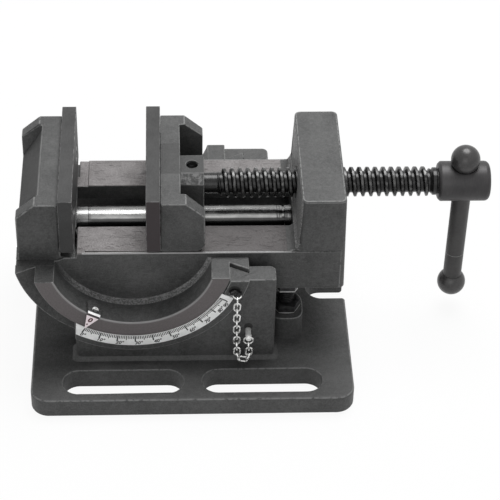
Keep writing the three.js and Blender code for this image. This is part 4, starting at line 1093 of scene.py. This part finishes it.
# Lead screw: black oxided steel with a coarse right-hand 4 mm thread, turned down to a grooved neck
# in the moving jaw and to a collar and spigot at the hub.
screw_z, rubbed_left, rubbed_right, rubbed_radius = 83.3, 15, 121, 6.9
screw_black = Finish("lead_screw_black")
film = screw_black.noise(0.4, 3.0)
tool_marks = screw_black.noise(1.0, 2.0, stretch=(2.5, 0.3, 0.3))
crest = far(screw_black.y, screw_black.z - screw_z).part(rubbed_radius, rubbed_radius + 0.5)
crest = crest * (screw_black.x > rubbed_left) * (screw_black.x < rubbed_right)
tone = screw_black.blend((film * 0.6 + tool_marks * 0.4).part(0.35, 0.65), 0.005, 0.02)
tone = screw_black.blend(crest * film.part(0.4, 0.6) * 0.6, tone, (0.12, 0.12, 0.118))
screw_black.bump(tool_marks, 0.4, 0.05)
screw_black.set(base_color=tone, roughness=0.2 + film * 0.14, metallic=0.4)
core = turned("x", [
    (0, -10.6), (5.0, -10.6), (5.3, -10.3), (5.3, -1.5), (3.7, -1.5), (3.7, 2.5), (5.3, 2.5),
    (5.3, 16.5), (5.45, 16.6), (5.45, 119.8), (6.3, 120.9), (7.0, 121.4), (7.0, 123.0),
    (6.7, 123.3), (6.4, 123.5), (6.4, 124.0), (4.5, 124.0), (4.5, 130.1), (4.2, 130.4), (0, 130.4),
], (0, 0, screw_z))
thread = Form("lead_thread", start=12.9, length=108.4, pitch=4.0, diameter=15.0, depth=2.05)
crest_radius = thread["diameter"] * 0.5
ridges = cut_thread(thread, thread["length"], crest_radius, crest_radius - thread["depth"], 64, 14)
ridges = thread.moved(ridges, thread["start"], 0, screw_z, turn=(0, math.pi / 2, 0))
threaded = thread.made(thread.together(ridges, thread.blank), core)
new_piece("lead_screw_steel", threaded, screw_black, "screw", "black_oxide", "lead_screw")


# Hub and handle: the hub is turned steel, cross drilled for a sliding bar that two pressed balls
# keep in. All have a dark phosphate finish, a little shinier on the balls.
def dark_phosphate(name, low, high, gloss, across_stretch):
    coat = Finish(name)
    turning = coat.noise(1.3, 2.0, stretch=across_stretch)
    cloud = coat.noise(0.12, 3.0)
    specks = coat.noise(2.2, 2.0).part(0.68, 0.76)
    tone = coat.blend((turning * 0.4 + cloud * 0.6).part(0.3, 0.7), low, high)
    tone = coat.blend(specks * 0.4, tone, 0.16)
    coat.bump(turning, 0.3, 0.03)
    coat.set(base_color=tone, roughness=gloss + cloud * 0.14, metallic=0.3, specular_ior_level=0.4)
    return coat, tone


hub_x, bar_low, bar_high = 137.1, 15.575, 97.075
hub_shoulder, hub_round, seat_radius, bore_radius = 147.5, 2.6, 7.65, 5.05
hub_coat, _ = dark_phosphate(
    "hub_phosphate", (0.027, 0.026, 0.027), (0.05, 0.048, 0.049), 0.38, (3.0, 0.25, 0.25),
)
hub = turned("x", [
    (0, 124.1), (8.7, 124.1), (9.0, 124.2), (10.0, 125.2), (10.1, 125.6), (10.1, hub_shoulder),
    *(
        (7.5 + hub_round * math.cos(a), hub_shoulder + hub_round * math.sin(a))
        for a in np.linspace(0, math.pi / 2, 7)[1:]
    ),
    (0, 150.1),
], (0, 0, screw_z), sides=128)
half_turn = np.linspace(0, math.pi, 33)
seat = [(seat_radius * math.sin(a), -seat_radius * math.cos(a)) for a in half_turn]
seats = [turned("z", seat, (hub_x, 0, z)) for z in (bar_high, 2 * screw_z - bar_high)]
bore = drill("z", bore_radius, 60, 106, (hub_x, 0, 0), 64)
new_piece("hub", without(hub, bore, *seats), hub_coat, "screw", "phosphate", "screw_hub")

bar_radius, bar_past, bar_chamfer, turned_line_z = 4.75, 2.15, 0.25, 36.3
bar_coat, tone = dark_phosphate(
    "bar_phosphate", (0.03, 0.029, 0.029), (0.05, 0.049, 0.048), 0.36, (0.4, 0.4, 2.4),
)
bar_coat.set(base_color=bar_coat.blend(bar_coat.z.near(turned_line_z, 0.14) * 0.8, tone, 0.22))
bottom, top = bar_low - bar_past, bar_high + bar_past
bar = turned("z", [
    (0, bottom), (bar_radius - bar_chamfer, bottom), (bar_radius, bottom + bar_chamfer),
    (bar_radius, top - bar_chamfer), (bar_radius - bar_chamfer, top), (0, top),
], (hub_x, 0, 0))
new_piece("handle_bar_steel", bar, bar_coat, "handle", "phosphate", "handle_bar")

ball_radius, hole_radius, hole_depth = 7.35, 4.85, 2.25
ball_coat, _ = dark_phosphate(
    "ball_phosphate", (0.037, 0.036, 0.036), (0.068, 0.066, 0.066), 0.24, (1, 1, 1),
)
for name, z, toward in (("handle_ball_top", bar_high, -1), ("handle_ball_bottom", bar_low, 1)):
    curve = [
        (ball_radius * math.sin(a), -ball_radius * math.cos(a) * toward)
        for a in np.linspace(0, math.pi - math.asin(hole_radius / ball_radius), 49)
    ]
    profile = [*curve, (hole_radius, -hole_depth * toward), (0, -hole_depth * toward)]
    ball = turned("z", profile, (hub_x, 0, z))
    new_piece(name + "_steel", ball, ball_coat, "handle", "phosphate", name)


# Pointer: a strip of dark sheet, bent over the ring's edge and screwed down. Its blade is painted
# white with a red zero, and a highlight is painted along the bend.
pointer_y, bend_radius, tab_y, shadow_radius = -54.2, 40.4, -48.0, 39.3
strip = Finish("pointer_strip")
nx, ny, nz = strip.facing()
turn = math.radians(zero_degrees)
inward_x, inward_z = -math.sin(turn), math.cos(turn)
outward = (strip.x - tilt_x) * -inward_x + (strip.z - tilt_z) * -inward_z
front = ny.part(-0.5, -0.85)
# Painted highlight along the bend, and a painted shadow line beside it.
bend_highlight = (nx * inward_x + nz * inward_z).part(0.3, 0.6) * strip.y.part(-52.4, -52.8)
shadow = (outward - shadow_radius).size().part(0.75, 0.6) * strip.y.part(-53.9, -54.1)
worn = strip.noise(1.4, 2.0)
tone = strip.layers(
    strip.blend(worn.part(0.3, 0.7), 0.03, 0.085),
    (front, (0.95, 0.84, 0.87)), (shadow, (0.03, 0.025, 0.025)), (bend_highlight, 1.0),
)
strip.bump(worn, 0.3, 0.04)
strip.set(base_color=tone, roughness=0.35 + worn * 0.15, metallic=0.1)
tab_frame = on_arc(bend_radius, zero_degrees, tab_y)
tab_thicker, hole_reach, hole_forward = 0.9, 1.4, 2.5
blade_share, blade_left, blade_y, tab_back = 0.82, 0.45, -53.3, 0.8
blade = bevelled(0.12, "pointer")
for vert in blade.vertices:
    spot = tab_frame.inverted() @ vert.co
    if vert.co.y < blade_y * MM:
        spot.x = spot.x * blade_share - blade_left * MM
    if spot.y > tab_back * MM:
        spot.y += tab_thicker * MM
    if max(abs(spot.x), abs(vert.co.y - tab_y * MM)) < hole_reach * MM:
        spot.z += hole_forward * MM
    vert.co = tab_frame @ spot
new_piece("pointer_strip", blade, strip, "tilting_body", "black_oxide", "pointer")

red = Finish("pointer_red")
red.set(
    base_color=red.blend(
        red.noise(2.0).part(0.3, 0.7), (0.04, 0.004, 0.006), (0.085, 0.007, 0.011),
    ),
    roughness=0.5,
)
zero = bmesh.new()
for text, size, radius, before, bold, slant in (
    ("0", 3.9, 42.5, 0.8, 0.2, 0.1), ("•", 3.2, 45.7, 0.9, 0.05, 0.0),
):
    spot = on_arc(radius, zero_degrees - before, pointer_y)
    zero.from_mesh(lettering(text, size, spot, bold, slant))
new_piece("pointer_zero", finish_solid(zero, "zero"), red, "tilting_body", "black_oxide")

pan = turned("z", [
    (0, -5.3), (0.8, -5.3), (1.0, -5.1), (1.0, 0.05), (1.6, 0.05), (1.6, 0.6), (1.45, 0.9),
    (1.2, 1.1), (0.8, 1.1), (0.8, 0.2), (0, 0.2),
], (0, 0, 0), sides=48)
pan_y, pan_lift = tab_y - hole_forward, 2.0
tab_up = on_arc(bend_radius, zero_degrees, pan_y)
across, up, out = (tab_up.col[i].xyz for i in range(3))
pan.transform(carried(tab_up.to_translation() + up * (pan_lift * MM), across, -out, up))
bright, tone = satin_nickel(
    "pointer_screw_nickel", (0.85, 0.85, 0.84), (0.97, 0.97, 0.96), 0.35, 0.1,
)
shadowed = bright.y.part(-50.9, -51.3)
bright.set(base_color=bright.blend(shadowed * 0.95, tone, 0.03))
new_piece("pointer_pan_screw", pan, bright, "tilting_body", "bright_steel", "pointer_screw")
